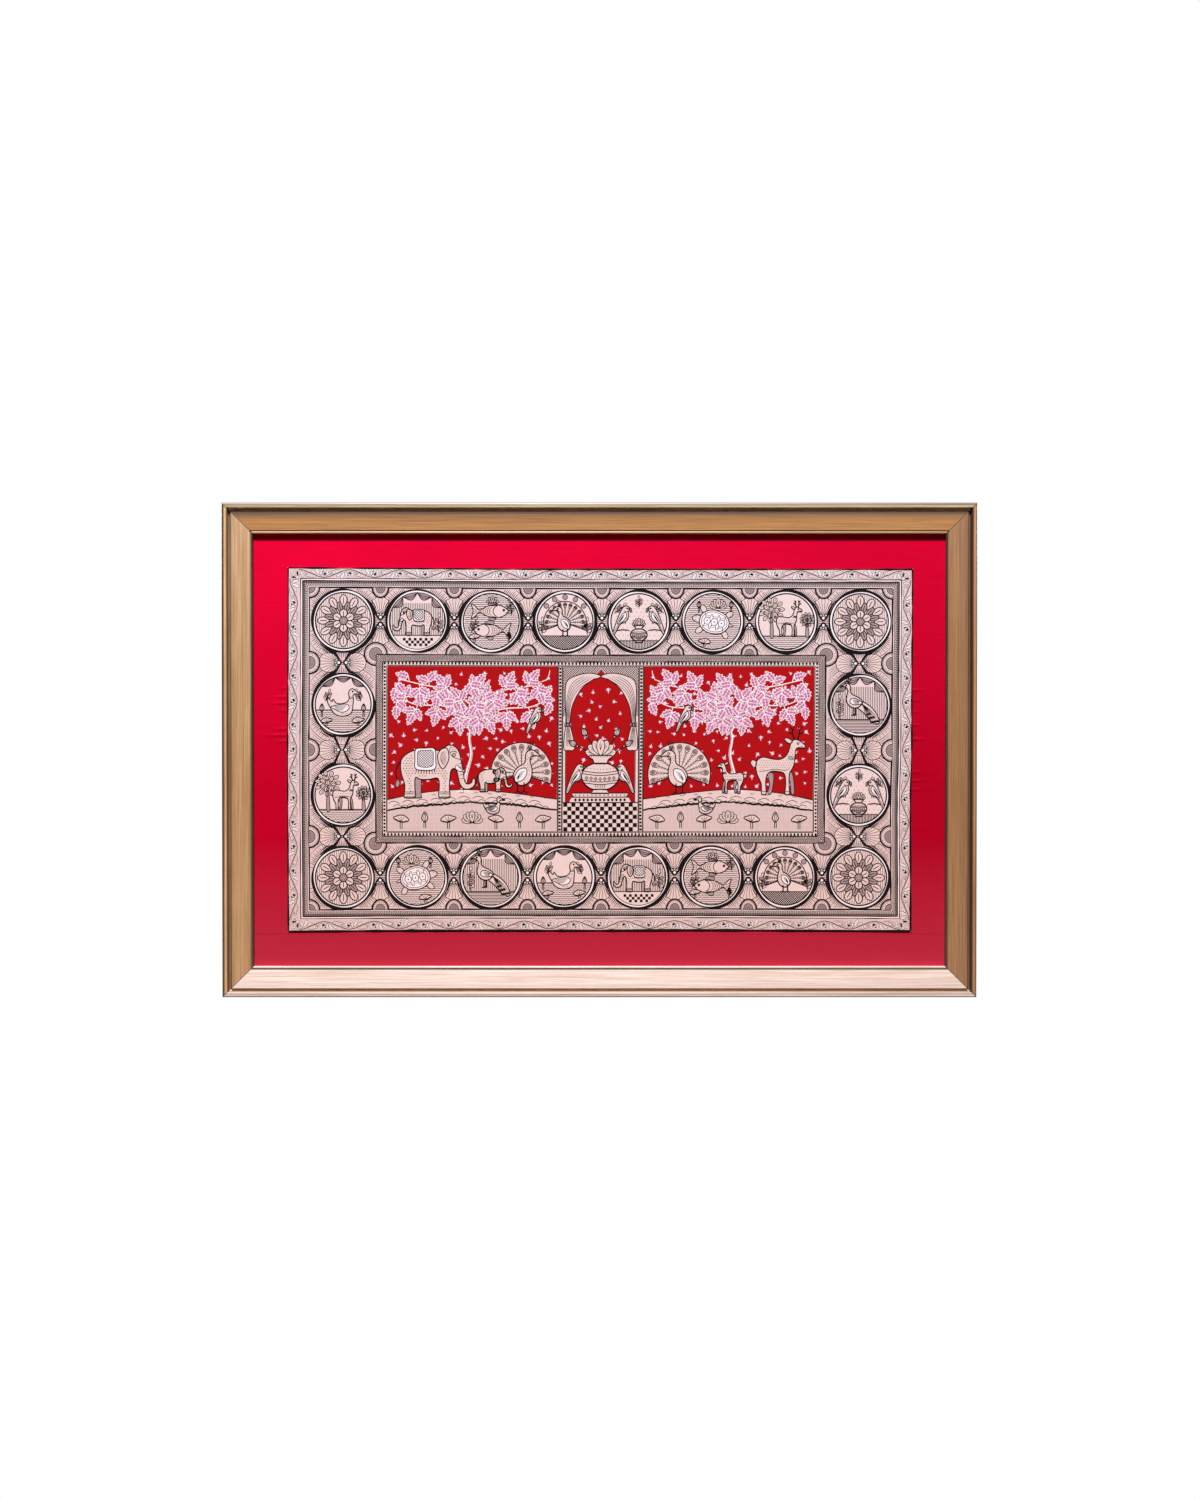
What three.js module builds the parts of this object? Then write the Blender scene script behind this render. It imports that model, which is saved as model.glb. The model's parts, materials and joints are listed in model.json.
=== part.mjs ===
// A painted silk picture on red silk cloth, held in a mitred wooden picture frame that hangs on a wall.
// Millimetres, +Z up. x runs to the right, y runs back to the wall at y = 0, and the picture faces -y.
// The origin is on the back of the top rail, at the middle of its length and width.

import * as THREE from 'three';

// The frame, over its outer edges, and the gap between pieces that touch.
const FRAME_WIDTH = 1100;
const FRAME_HEIGHT = 720.5;
const RAIL_WIDTH = 44;
const CLEARANCE = 0.3;

// The moulding. Widths run inwards from the outer edge of a rail, and heights run forwards from the wall.
const SHOULDER_HEIGHT = 23.5;
const LIP_WIDTH = 8;
const LIP_HEIGHT = 28;
const LIP_SQUARENESS = 2.8;
const HOLLOW_WIDTH = 5;
const HOLLOW_DEPTH = 4.5;
const FACE_WIDTH = 26;
const FACE_FALL = 8;
const QUIRK_WIDTH = 1.5;
const QUIRK_DEPTH = 2;
const BEAD_WIDTH = RAIL_WIDTH - LIP_WIDTH - HOLLOW_WIDTH - FACE_WIDTH - QUIRK_WIDTH;
const BEAD_FOOT = 14.5;
const REBATE_WIDTH = 6;
const REBATE_HEIGHT = 8.2;
const ARC_STEPS = 16;

// The board and the cloths that lie in the rebate, from the back to the front.
const BOARD_THICKNESS = 4;
const CLOTH_THICKNESS = 1;
const REBATE_PLAY = 1;
const MAT_FRONT = REBATE_HEIGHT - CLEARANCE;
const MAT_BACK = MAT_FRONT - CLOTH_THICKNESS;
const BOARD_FRONT = MAT_BACK - CLEARANCE;
const MAT_WIDTH = FRAME_WIDTH - 2 * (RAIL_WIDTH - REBATE_WIDTH + REBATE_PLAY);
const MAT_HEIGHT = FRAME_HEIGHT - 2 * (RAIL_WIDTH - REBATE_WIDTH + REBATE_PLAY);

// The red cloth is in two lengths that meet just under the picture. Places are from the frame's middle.
const SEAM_HEIGHT = -269.9;

// The picture's cloth, nearly a rectangle. Each edge wanders a little, as the hand-cut cloth does.
const PICTURE_LEFT = -457;
const PICTURE_RIGHT = 457.5;
const PICTURE_BOTTOM = -264.8;
const PICTURE_TOP = 265.2;
const PICTURE_BACK = MAT_FRONT + CLEARANCE;
const LONG_EDGES = [
  { along: 0.00, top: 2.3, bottom: -1.3 },
  { along: 0.18, top: 1.4, bottom: -0.1 },
  { along: 0.34, top: 0.3, bottom: 0.1 },
  { along: 0.50, top: 0.0, bottom: 0.1 },
  { along: 0.66, top: 0.0, bottom: 0.7 },
  { along: 0.82, top: -0.1, bottom: 0.1 },
  { along: 1.00, top: -0.1, bottom: -0.8 },
];
const SHORT_EDGES = [
  { along: 0.00, left: 0.4, right: -0.8 },
  { along: 0.14, left: 0.2, right: -0.8 },
  { along: 0.36, left: -0.3, right: -1.3 },
  { along: 0.50, left: -0.3, right: 0.6 },
  { along: 0.64, left: 0.2, right: 0.5 },
  { along: 0.86, left: 0.9, right: 1.1 },
  { along: 1.00, left: 1.1, right: 1.2 },
];

// Small puckers in the red cloth, where the picture's stitched sides pull it. Each is a soft ridge that
// starts at the picture's edge and fades outwards. height is from the frame's middle.
const PUCKER_HALF_WIDTH = 3.6;
const PUCKERS = [
  { side: 'left', height: 91, reach: 13, rise: 0.7 },
  { side: 'left', height: 78, reach: 24, rise: 0.9 },
  { side: 'left', height: 69, reach: 28, rise: 1.0 },
  { side: 'left', height: 58, reach: 13, rise: 0.8 },
  { side: 'left', height: 31, reach: 26, rise: 0.8 },
  { side: 'left', height: 22, reach: 36, rise: 1.1 },
  { side: 'left', height: 13, reach: 24, rise: 0.8 },
  { side: 'right', height: 138, reach: 14, rise: 0.5 },
  { side: 'right', height: 88, reach: 20, rise: 1.0 },
  { side: 'right', height: 73, reach: 16, rise: 0.6 },
  { side: 'right', height: 56, reach: 16, rise: 0.6 },
  { side: 'right', height: 37, reach: 18, rise: 0.8 },
  { side: 'right', height: 16, reach: 22, rise: 1.1 },
  { side: 'right', height: -32, reach: 16, rise: 0.8 },
  { side: 'right', height: -45, reach: 20, rise: 1.0 },
  { side: 'right', height: -58, reach: 16, rise: 0.8 },
];

const champagneWood = new THREE.MeshStandardMaterial({ color: 0xc09468, roughness: 0.38, metalness: 0.35 });
const redSilk = new THREE.MeshStandardMaterial({ color: 0xcf0a2c, roughness: 0.55 });
const rawSilk = new THREE.MeshStandardMaterial({ color: 0xe9d6cf, roughness: 0.8 });
const greyBoard = new THREE.MeshStandardMaterial({ color: 0xa58b6b, roughness: 0.9 });

const picture = new THREE.Group();
picture.position.z = RAIL_WIDTH / 2 - FRAME_HEIGHT / 2;

function addPiece(name, geometry, material) {
  const piece = new THREE.Mesh(geometry, material);
  piece.name = name;
  picture.add(piece);
  return piece;
}

// Points over the lip, whose crown is flatter and whose edges are tighter than an ellipse's.
function lipCrown() {
  const crown = [];
  for (let i = 1; i < ARC_STEPS; i++) {
    const angle = Math.PI * (1 - i / ARC_STEPS);
    const across = Math.sign(Math.cos(angle)) * Math.abs(Math.cos(angle)) ** (2 / LIP_SQUARENESS);
    const up = Math.sin(angle) ** (2 / LIP_SQUARENESS);
    crown.push([LIP_WIDTH / 2 * (1 + across), SHOULDER_HEIGHT + (LIP_HEIGHT - SHOULDER_HEIGHT) * up]);
  }
  return crown;
}

// The section of a rail, from its back outer corner over the front to the rebate.
function railSection() {
  const section = new THREE.Shape();
  const hollowMiddle = LIP_WIDTH + HOLLOW_WIDTH / 2;
  const faceStart = LIP_WIDTH + HOLLOW_WIDTH;
  const faceEnd = faceStart + FACE_WIDTH;
  const faceFoot = SHOULDER_HEIGHT - FACE_FALL;
  const beadStart = faceEnd + QUIRK_WIDTH;
  section.moveTo(0, 0);
  section.lineTo(0, SHOULDER_HEIGHT);
  for (const [across, up] of lipCrown()) section.lineTo(across, up);
  section.lineTo(LIP_WIDTH, SHOULDER_HEIGHT);
  section.absellipse(hollowMiddle, SHOULDER_HEIGHT, HOLLOW_WIDTH / 2, HOLLOW_DEPTH, Math.PI, 2 * Math.PI, false);
  section.lineTo(faceEnd, faceFoot);
  section.lineTo(faceEnd, faceFoot - QUIRK_DEPTH);
  section.lineTo(beadStart, faceFoot - QUIRK_DEPTH);
  section.lineTo(beadStart, BEAD_FOOT);
  section.absarc(beadStart + BEAD_WIDTH / 2, BEAD_FOOT, BEAD_WIDTH / 2, Math.PI, 0, true);
  section.lineTo(RAIL_WIDTH, REBATE_HEIGHT);
  section.lineTo(RAIL_WIDTH - REBATE_WIDTH, REBATE_HEIGHT);
  section.lineTo(RAIL_WIDTH - REBATE_WIDTH, 0);
  return section;
}

// One rail with both ends cut to 45 degrees. It is made as the bottom rail and then turned to its side.
function addRail(name, length, span, turn) {
  const geometry = new THREE.ExtrudeGeometry(railSection(), {
    depth: length, bevelEnabled: false, curveSegments: ARC_STEPS,
  });
  const points = geometry.getAttribute('position');
  for (let i = 0; i < points.count; i++) {
    const cut = points.getX(i) + CLEARANCE / 2;
    points.setZ(i, points.getZ(i) < length / 2 ? cut : length - cut);
  }
  const inward = new THREE.Vector3(0, 0, 1);
  const forward = new THREE.Vector3(0, -1, 0);
  const along = new THREE.Vector3(1, 0, 0);
  geometry.applyMatrix4(new THREE.Matrix4().makeBasis(inward, forward, along));
  geometry.translate(-length / 2, 0, -span / 2);
  addPiece(name, geometry, champagneWood).rotation.y = turn;
}

// A smooth curve through one column of an edge table, so an edge has no corners along its length.
function edgeCurve(table, column) {
  const spots = table.map((row) => new THREE.Vector3(row.along, row[column], 0));
  return (fraction) => new THREE.CatmullRomCurve3(spots).getPoint(fraction).y;
}

// A closed sheet over a grid of fractions. place(across, up) gives x, forward height and z of its front.
function sheetGeometry(acrossLines, upLines, place) {
  const columns = acrossLines.length;
  const rows = upLines.length;
  const positions = [];
  const faces = [];
  for (const depth of [0, CLOTH_THICKNESS]) {
    for (const up of upLines) {
      for (const across of acrossLines) {
        const front = place(across, up);
        positions.push(front.x, -(front.height - depth), front.z);
      }
    }
  }
  const back = columns * rows;
  const addQuad = (a, b, c, d) => faces.push(a, b, c, a, c, d);
  for (let row = 0; row < rows - 1; row++) {
    for (let column = 0; column < columns - 1; column++) {
      const corner = row * columns + column;
      const above = corner + columns;
      addQuad(corner, corner + 1, above + 1, above);
      addQuad(back + corner, back + above, back + above + 1, back + corner + 1);
    }
  }
  for (let column = 0; column < columns - 1; column++) {
    const top = (rows - 1) * columns + column;
    addQuad(column, back + column, back + column + 1, column + 1);
    addQuad(top, top + 1, back + top + 1, back + top);
  }
  for (let row = 0; row < rows - 1; row++) {
    const left = row * columns;
    const right = left + columns - 1;
    addQuad(left, left + columns, back + left + columns, back + left);
    addQuad(right, back + right, back + right + columns, right + columns);
  }
  const geometry = new THREE.BufferGeometry();
  geometry.setAttribute('position', new THREE.Float32BufferAttribute(positions, 3));
  geometry.setIndex(faces);
  return geometry;
}

// Evenly stepped lines through each zone, from { to, step } rows that follow on from the start.
function gridLines(start, zones) {
  const lines = [start];
  for (const zone of zones) {
    const from = lines[lines.length - 1];
    const count = Math.max(1, Math.round((zone.to - from) / zone.step));
    for (let i = 1; i <= count; i++) lines.push(from + (zone.to - from) * i / count);
  }
  return lines;
}

// How far the puckers lift the red cloth off the board at a place on it.
function puckerRise(x, z) {
  let rise = 0;
  for (const pucker of PUCKERS) {
    const outward = pucker.side === 'left' ? PICTURE_LEFT - x : x - PICTURE_RIGHT;
    const offset = Math.abs(z - pucker.height) / PUCKER_HALF_WIDTH;
    if (outward > 0 && outward < pucker.reach && offset < 1) {
      const start = Math.min(1, outward / 3);
      const fade = start * (1 - outward / pucker.reach);
      rise = Math.max(rise, pucker.rise * fade * Math.cos(offset * Math.PI / 2) ** 2);
    }
  }
  return rise;
}

function addUpperMat() {
  const side = MAT_WIDTH / 2;
  const xs = gridLines(-side, [
    { to: PICTURE_LEFT - 36, step: 20 }, { to: PICTURE_LEFT, step: 6 }, { to: PICTURE_RIGHT, step: 230 },
    { to: PICTURE_RIGHT + 24, step: 6 }, { to: side, step: 20 },
  ]);
  const zs = gridLines(SEAM_HEIGHT + CLEARANCE / 2, [
    { to: -62, step: 100 }, { to: -28, step: 2.4 }, { to: 9, step: 18 }, { to: 95, step: 2.4 },
    { to: 134, step: 20 }, { to: 142, step: 2.4 }, { to: MAT_HEIGHT / 2, step: 90 },
  ]);
  addPiece('mat_cloth_upper', sheetGeometry(xs, zs, (x, z) => (
    { x, height: MAT_FRONT + puckerRise(x, z), z })), redSilk);
}

function addLowerMat() {
  const side = MAT_WIDTH / 2;
  const xs = gridLines(-side, [{ to: side, step: 250 }]);
  const zs = [-MAT_HEIGHT / 2, SEAM_HEIGHT - CLEARANCE / 2];
  addPiece('mat_cloth_lower', sheetGeometry(xs, zs, (x, z) => ({ x, height: MAT_FRONT, z })), redSilk);
}

// The picture's cloth, stretched between its four wandering edges.
function addPaintedCloth() {
  const edge = {
    top: edgeCurve(LONG_EDGES, 'top'), bottom: edgeCurve(LONG_EDGES, 'bottom'),
    left: edgeCurve(SHORT_EDGES, 'left'), right: edgeCurve(SHORT_EDGES, 'right'),
  };
  const place = (across, up) => ({
    x: THREE.MathUtils.lerp(PICTURE_LEFT + edge.left(up), PICTURE_RIGHT + edge.right(up), across),
    z: THREE.MathUtils.lerp(PICTURE_BOTTOM + edge.bottom(across), PICTURE_TOP + edge.top(across), up),
    height: PICTURE_BACK + CLOTH_THICKNESS,
  });
  const fractions = (count) => gridLines(0, [{ to: 1, step: 1 / count }]);
  addPiece('painted_cloth', sheetGeometry(fractions(18), fractions(12), place), rawSilk);
}

function addBoard() {
  const geometry = new THREE.BoxGeometry(MAT_WIDTH, BOARD_THICKNESS, MAT_HEIGHT);
  addPiece('backing_board', geometry, greyBoard).position.y = BOARD_THICKNESS / 2 - BOARD_FRONT;
}

addRail('frame_bottom', FRAME_WIDTH, FRAME_HEIGHT, 0);
addRail('frame_right', FRAME_HEIGHT, FRAME_WIDTH, -Math.PI / 2);
addRail('frame_top', FRAME_WIDTH, FRAME_HEIGHT, Math.PI);
addRail('frame_left', FRAME_HEIGHT, FRAME_WIDTH, Math.PI / 2);
addBoard();
addUpperMat();
addLowerMat();
addPaintedCloth();

export default picture;
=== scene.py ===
# %% [markdown]
# # A pattachitra painting in a picture frame
# The real object is a painting on primed silk, stitched to red silk cloth and held in a mitred wooden frame
# with a champagne lacquer. The rails and the board come from the CAD and only get new materials here. The
# cloths are woven afresh over the CAD's thin sheets, and the picture is laid on its cloth as thin flat paint,
# because paint made as real shapes keeps sharp at any distance and needs no image.

# %% Load the frame
import json
import math
import random
from collections import defaultdict

import bpy
import numpy as np
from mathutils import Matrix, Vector
from mathutils.geometry import tessellate_polygon

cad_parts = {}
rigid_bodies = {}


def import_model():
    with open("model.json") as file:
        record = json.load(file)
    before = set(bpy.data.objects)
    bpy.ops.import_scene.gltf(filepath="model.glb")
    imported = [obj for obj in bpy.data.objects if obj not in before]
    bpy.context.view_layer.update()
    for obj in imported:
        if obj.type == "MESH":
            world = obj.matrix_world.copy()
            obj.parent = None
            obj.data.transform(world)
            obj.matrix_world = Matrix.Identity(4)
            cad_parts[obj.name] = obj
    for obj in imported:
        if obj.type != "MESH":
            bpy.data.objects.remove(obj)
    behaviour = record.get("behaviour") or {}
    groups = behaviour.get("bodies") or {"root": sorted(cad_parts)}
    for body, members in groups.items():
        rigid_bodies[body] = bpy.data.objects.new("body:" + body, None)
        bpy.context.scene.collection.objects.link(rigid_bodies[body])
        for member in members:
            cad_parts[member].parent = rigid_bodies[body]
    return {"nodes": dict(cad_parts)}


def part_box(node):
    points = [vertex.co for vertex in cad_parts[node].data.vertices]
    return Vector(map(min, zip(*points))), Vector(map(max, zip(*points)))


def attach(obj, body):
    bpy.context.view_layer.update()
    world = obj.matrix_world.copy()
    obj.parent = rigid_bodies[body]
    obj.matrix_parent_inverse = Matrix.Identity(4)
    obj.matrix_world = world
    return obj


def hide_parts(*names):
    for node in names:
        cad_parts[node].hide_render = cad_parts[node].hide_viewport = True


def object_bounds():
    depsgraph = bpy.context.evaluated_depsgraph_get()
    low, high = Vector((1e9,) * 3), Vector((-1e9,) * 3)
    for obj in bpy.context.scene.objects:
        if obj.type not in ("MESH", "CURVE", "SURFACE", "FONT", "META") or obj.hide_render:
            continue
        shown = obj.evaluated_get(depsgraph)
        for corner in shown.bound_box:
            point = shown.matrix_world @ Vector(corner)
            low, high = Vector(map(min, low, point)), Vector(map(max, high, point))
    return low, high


for leftover in list(bpy.data.objects):
    bpy.data.objects.remove(leftover)
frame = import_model()
cad_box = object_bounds()
print("CAD box", [tuple(round(c, 4) for c in corner) for corner in cad_box])

# %% [markdown]
# ## Sizes
# All flat drawing is done in millimetres from the middle of the frame, u to the right and v up. The CAD's own
# boxes say where that middle is and how far forward the front of the painted cloth lies.

# %% Read the places from the CAD
MM = 0.001
middle_x = (cad_box[0].x + cad_box[1].x) / 2
middle_z = (cad_box[0].z + cad_box[1].z) / 2
cloth_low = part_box("painted_cloth")[0]
CLOTH_THICKNESS = 1.0
PICTURE_FRONT = -cloth_low.y / MM
PICTURE = (-457.0, -264.8, 457.5, 265.2)
EDGE_WANDER = {
    "top": ((0, 2.3), (0.18, 1.4), (0.34, 0.3), (0.5, 0.0), (0.66, 0.0), (0.82, -0.1), (1, -0.1)),
    "bottom": ((0, -1.3), (0.18, -0.1), (0.34, 0.1), (0.5, 0.1), (0.66, 0.7), (0.82, 0.1), (1, -0.8)),
    "left": ((0, 0.4), (0.14, 0.2), (0.36, -0.3), (0.5, -0.3), (0.64, 0.2), (0.86, 0.9), (1, 1.1)),
    "right": ((0, -0.8), (0.14, -0.8), (0.36, -1.3), (0.5, 0.6), (0.64, 0.5), (0.86, 1.1), (1, 1.2)),
}
print("picture front", PICTURE_FRONT, "mm from the wall, middle at z", round(middle_z, 4))

# %% [markdown]
# ## Smooth lines
# A painter's line bends without corners. A few points are enough to say where it goes, and a curve through them
# is cut into as many straight steps as it needs to look round, and no more, so straight lines stay cheap.

# %% Curves and arcs
ROUNDNESS = 0.05


def curve(points, closed=False, tolerance=ROUNDNESS):
    """A smooth line through the points, within a tolerance in mm of the true curve."""
    p = np.asarray(points, float)
    if len(p) < 3:
        return p
    ring = np.vstack([p[-1], p, p[0], p[1]]) if closed else np.vstack([2 * p[0] - p[1], p, 2 * p[-1] - p[-2]])
    out = []
    for a, b, c, d in zip(ring, ring[1:], ring[2:], ring[3:]):
        bow = np.linalg.norm(b + c - a - d) / 16
        count = min(16, max(1, math.ceil(math.sqrt(bow / tolerance))))
        t = (np.arange(count) / count)[:, None]
        out.append(0.5 * (2 * b + (c - a) * t + (2 * a - 5 * b + 4 * c - d) * t**2 + (3 * b - a - 3 * c + d) * t**3))
    if not closed:
        out.append(p[-1:])
    return np.vstack(out)


def arc(centre, radius, start, end, squash=1.0):
    """Points on an arc from start to end, in degrees anticlockwise from the right."""
    step = math.sqrt(8 * ROUNDNESS / max(radius, 0.5))
    count = max(3, math.ceil(abs(math.radians(end - start)) / step))
    angle = np.radians(np.linspace(start, end, count + 1))
    return np.column_stack([centre[0] + radius * np.cos(angle), centre[1] + radius * squash * np.sin(angle)])


def inside(outline, points):
    """Which points lie inside a closed outline."""
    x, y = points[:, 0][:, None], points[:, 1][:, None]
    ax, ay = outline[:, 0][None], outline[:, 1][None]
    bx, by = np.roll(outline[:, 0], -1)[None], np.roll(outline[:, 1], -1)[None]
    crosses = (ay > y) != (by > y)
    with np.errstate(divide="ignore", invalid="ignore"):
        at = ax + (y - ay) / (by - ay) * (bx - ax)
    return (crosses & (x < at)).sum(1) % 2 == 1


def runs(points, kept):
    """The unbroken runs of points that are kept."""
    run = []
    for point, held in [*zip(points, kept), (None, False)]:
        if held:
            run.append(point)
        elif run:
            yield run
            run = []


def round_the_origin(radius, count):
    """Evenly spaced points on a circle round the origin."""
    angle = np.linspace(0, 2 * math.pi, count, endpoint=False)
    return radius * np.column_stack([np.cos(angle), np.sin(angle)])


print("a 46 mm ring takes", len(arc((0, 0), 46, 0, 360)) - 1, "steps")

# %% [markdown]
# ## Brush
# The painter fills flat areas first, then adds lighter colours, and draws every outline last in lamp black. The
# brush keeps the same order: each paint has its own height above the cloth, a few hundredths of a millimetre
# apart, and a motif that stands before another is lifted by whole levels. So nothing needs to be cut away.

# %% The brush
PAINT_HEIGHT = {
    "grey": 0.010, "red": 0.013, "pale": 0.016, "cream": 0.019, "wash": 0.024, "pink": 0.024, "white": 0.034,
    "plum": 0.046, "ink": 0.058,
}
LEVEL = 0.07
LINE_SINK = 0.010
INK_BOLDNESS = 1.5
TAPER_ENDS, TAPER_STARTS = 0.14, 0.86
FIRST_WIDTH, LAST_WIDTH = 0.5, 0.4
SHORTEST_HATCH = 0.8
ROW_SPACING = 0.87


class Brush:
    """Draws on the flat picture in millimetres. at, size, turn and flip place all that it draws."""

    def __init__(self, marks=None, at=(0, 0), level=0):
        self.marks = [] if marks is None else marks
        self.level, self.size = level, 1.0
        self.turned, self.at = np.eye(2), np.array(at, float)

    def moved(self, at=(0, 0), size=1.0, turn=0.0, flip=False, lift=0):
        """A brush for a smaller motif inside this one's."""
        inner = Brush(self.marks, self.at + self.turned @ np.array(at, float), self.level + lift)
        c, s = math.cos(math.radians(turn)) * size, math.sin(math.radians(turn)) * size
        mirror = -1 if flip else 1
        inner.turned = self.turned @ np.array([[c * mirror, -s], [s * mirror, c]])
        inner.size = self.size * size
        return inner

    def place(self, points):
        return np.asarray(points, float) @ self.turned.T + self.at

    def line(self, points, width=0.8, paint="ink", closed=False, taper=True, smooth=True):
        """A stroke. Its width is in mm on the cloth, or a list of widths along it."""
        p = self.place(points)
        if smooth:
            p = curve(p, closed)
        run = np.r_[0, np.cumsum(np.linalg.norm(np.diff(p, axis=0), axis=1))]
        run /= max(run[-1], 1e-6)
        taper = taper and not closed
        if taper:
            at = np.unique(np.r_[run, TAPER_ENDS, TAPER_STARTS])
            p, run = np.column_stack([np.interp(at, run, p[:, 0]), np.interp(at, run, p[:, 1])]), at
        widths = np.interp(run, np.linspace(0, 1, np.size(width)), np.atleast_1d(width))
        if taper:
            widths = widths * np.interp(run, (0, TAPER_ENDS, TAPER_STARTS, 1), (FIRST_WIDTH, 1, 1, LAST_WIDTH))
        if paint == "ink":
            widths = widths * INK_BOLDNESS
        self.marks.append(("line", paint, self.level, p, widths, closed))

    def rule(self, points, width=0.8, paint="ink"):
        """A stroke with straight parts and blunt ends."""
        self.line(points, width, paint, taper=False, smooth=False)

    def plate(self, points, paint="cream", smooth=True):
        """A filled shape without an outline."""
        p = self.place(points)
        self.marks.append(("plate", paint, self.level, curve(p, True) if smooth else p, None, True))

    def shape(self, points, paint="cream", width=0.8, smooth=True):
        """A filled shape with an inked outline."""
        self.plate(points, paint, smooth)
        self.line(points, width, closed=True, smooth=smooth)

    def dot(self, at, radius, sides=7):
        """A round spot of ink. Its radius is in mm on the cloth."""
        self.marks.append(("plate", "ink", self.level, self.place([at]) + round_the_origin(radius, sides), None, True))

    def ring(self, at, radius, width, paint="ink"):
        self.line(arc(at, radius, 0, 360)[:-1], width, paint, closed=True, smooth=False)

    def disc(self, at, radius, paint):
        self.plate(arc(at, radius, 0, 360)[:-1], paint, smooth=False)

    def hatch(self, outline, angle=45, pitch=1.6, width=0.5, paint="ink", smooth=True):
        """Straight pen strokes at an angle, cut to the inside of an outline."""
        edge = self.place(outline)
        if smooth:
            edge = curve(edge, True)
        c, s = math.cos(math.radians(angle)), math.sin(math.radians(angle))
        across = np.array([[c, s], [-s, c]])
        e = edge @ across.T
        after = np.roll(e, -1, axis=0)
        for row in np.arange(e[:, 1].min() + pitch / 2, e[:, 1].max(), pitch):
            cut = (e[:, 1] > row) != (after[:, 1] > row)
            a, b = e[cut], after[cut]
            xs = np.sort(a[:, 0] + (row - a[:, 1]) / (b[:, 1] - a[:, 1]) * (b[:, 0] - a[:, 0]))
            for x0, x1 in zip(xs[::2], xs[1::2]):
                if x1 - x0 > SHORTEST_HATCH:
                    p = np.array([[x0, row], [x1, row]]) @ across
                    self.marks.append(("line", paint, self.level, p, np.full(2, width * INK_BOLDNESS), False))

    def stipple(self, outline, pitch, radius, margin=1.0, smooth=True):
        """Rows of ink spots inside an outline, each second row moved by half a step."""
        edge = self.place(outline)
        if smooth:
            edge = curve(edge, True)
        low, high = edge.min(0), edge.max(0)
        spots = [
            (x, y)
            for row, y in enumerate(np.arange(low[1] + pitch / 2, high[1], pitch * ROW_SPACING))
            for x in np.arange(low[0] + pitch * (0.25 + 0.5 * (row % 2)), high[0], pitch)
        ]
        if spots:
            spots = np.array(spots)
            keep = inside(edge, spots)
            for nudge in ((margin, 0), (-margin, 0), (0, margin), (0, -margin)):
                keep &= inside(edge, spots + nudge)
            for spot in spots[keep]:
                self.marks.append(("plate", "ink", self.level, spot + round_the_origin(radius, 5), None, True))


print("paints from the cloth up:", ", ".join(PAINT_HEIGHT))

# %% [markdown]
# ## Flowers and leaves
# Pattachitra borders are full of lotus. A petal is one outline with its foot at the origin, and everything from a
# bud to a full-blown flower is that petal turned and repeated.

# %% Petals, lotus and leaves
LOTUS_SPREAD = 150
LEAF_LOBES = 4


def petal(length, width):
    """A petal's outline, from its foot at the origin straight up to its tip."""
    half = [(0.0, 0.0), (0.34, 0.22), (0.5, 0.5), (0.42, 0.8), (0.0, 1.0)]
    right = [(x * width, y * length) for x, y in half]
    return right + [(-x, y) for x, y in right[-2:0:-1]]


def mirrored(half):
    """A closed outline from its right half, bottom to top."""
    return list(half) + [(-x, y) for x, y in reversed(half) if abs(x) > 1e-6]


def lotus(b, size, petals):
    """An open lotus seen from the side. The outer petals lie behind the inner ones."""
    for i in range(petals):
        depth = abs(i - (petals - 1) / 2)
        turn = LOTUS_SPREAD * (0.5 - i / (petals - 1))
        leaf = b.moved(turn=turn, lift=(petals - 1) / 2 - depth)
        long = size * (1 - 0.12 * abs(turn) / LOTUS_SPREAD)
        leaf.shape(petal(long, size * 0.46), "cream", 0.7)
        for side in (-1, 0, 1):
            leaf.line([(0, size * 0.3), (side * size * 0.1, long * (0.88 - 0.16 * abs(side)))], 0.4)


def bud(b, size, stem):
    """A closed lotus bud on a short thick stem."""
    b.shape(mirrored([(size * 0.1, -stem), (size * 0.08, 0)]), "cream", 0.9, smooth=False)
    b.shape(mirrored([(0, 0), (size * 0.3, size * 0.35), (size * 0.24, size * 0.7), (0, size * 1.1)]), "cream", 1.0)
    for side in (-1, 1):
        b.line([(0, 0), (side * size * 0.1, size * 0.5), (0, size)], 0.6)


def lily_leaf(b, size, stem, lean=1):
    """A lotus leaf seen from the side, a ribbed fan on a stem."""
    b.shape(mirrored([(size * 0.09, -stem), (size * 0.09, 0)]), "cream", 0.9, smooth=False)
    rim = [(-0.75, 0.3 - lean * 0.12), (-0.4, 0.62), (0, 0.7), (0.4, 0.6), (0.75, 0.3 + lean * 0.12)]
    rim = [(x * size, y * size) for x, y in rim]
    b.shape([(0, 0)] + rim[::-1], "cream", 1.0)
    for x, y in rim:
        b.line([(0, size * 0.05), (x * 0.8, y * 0.85)], 0.5)


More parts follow.
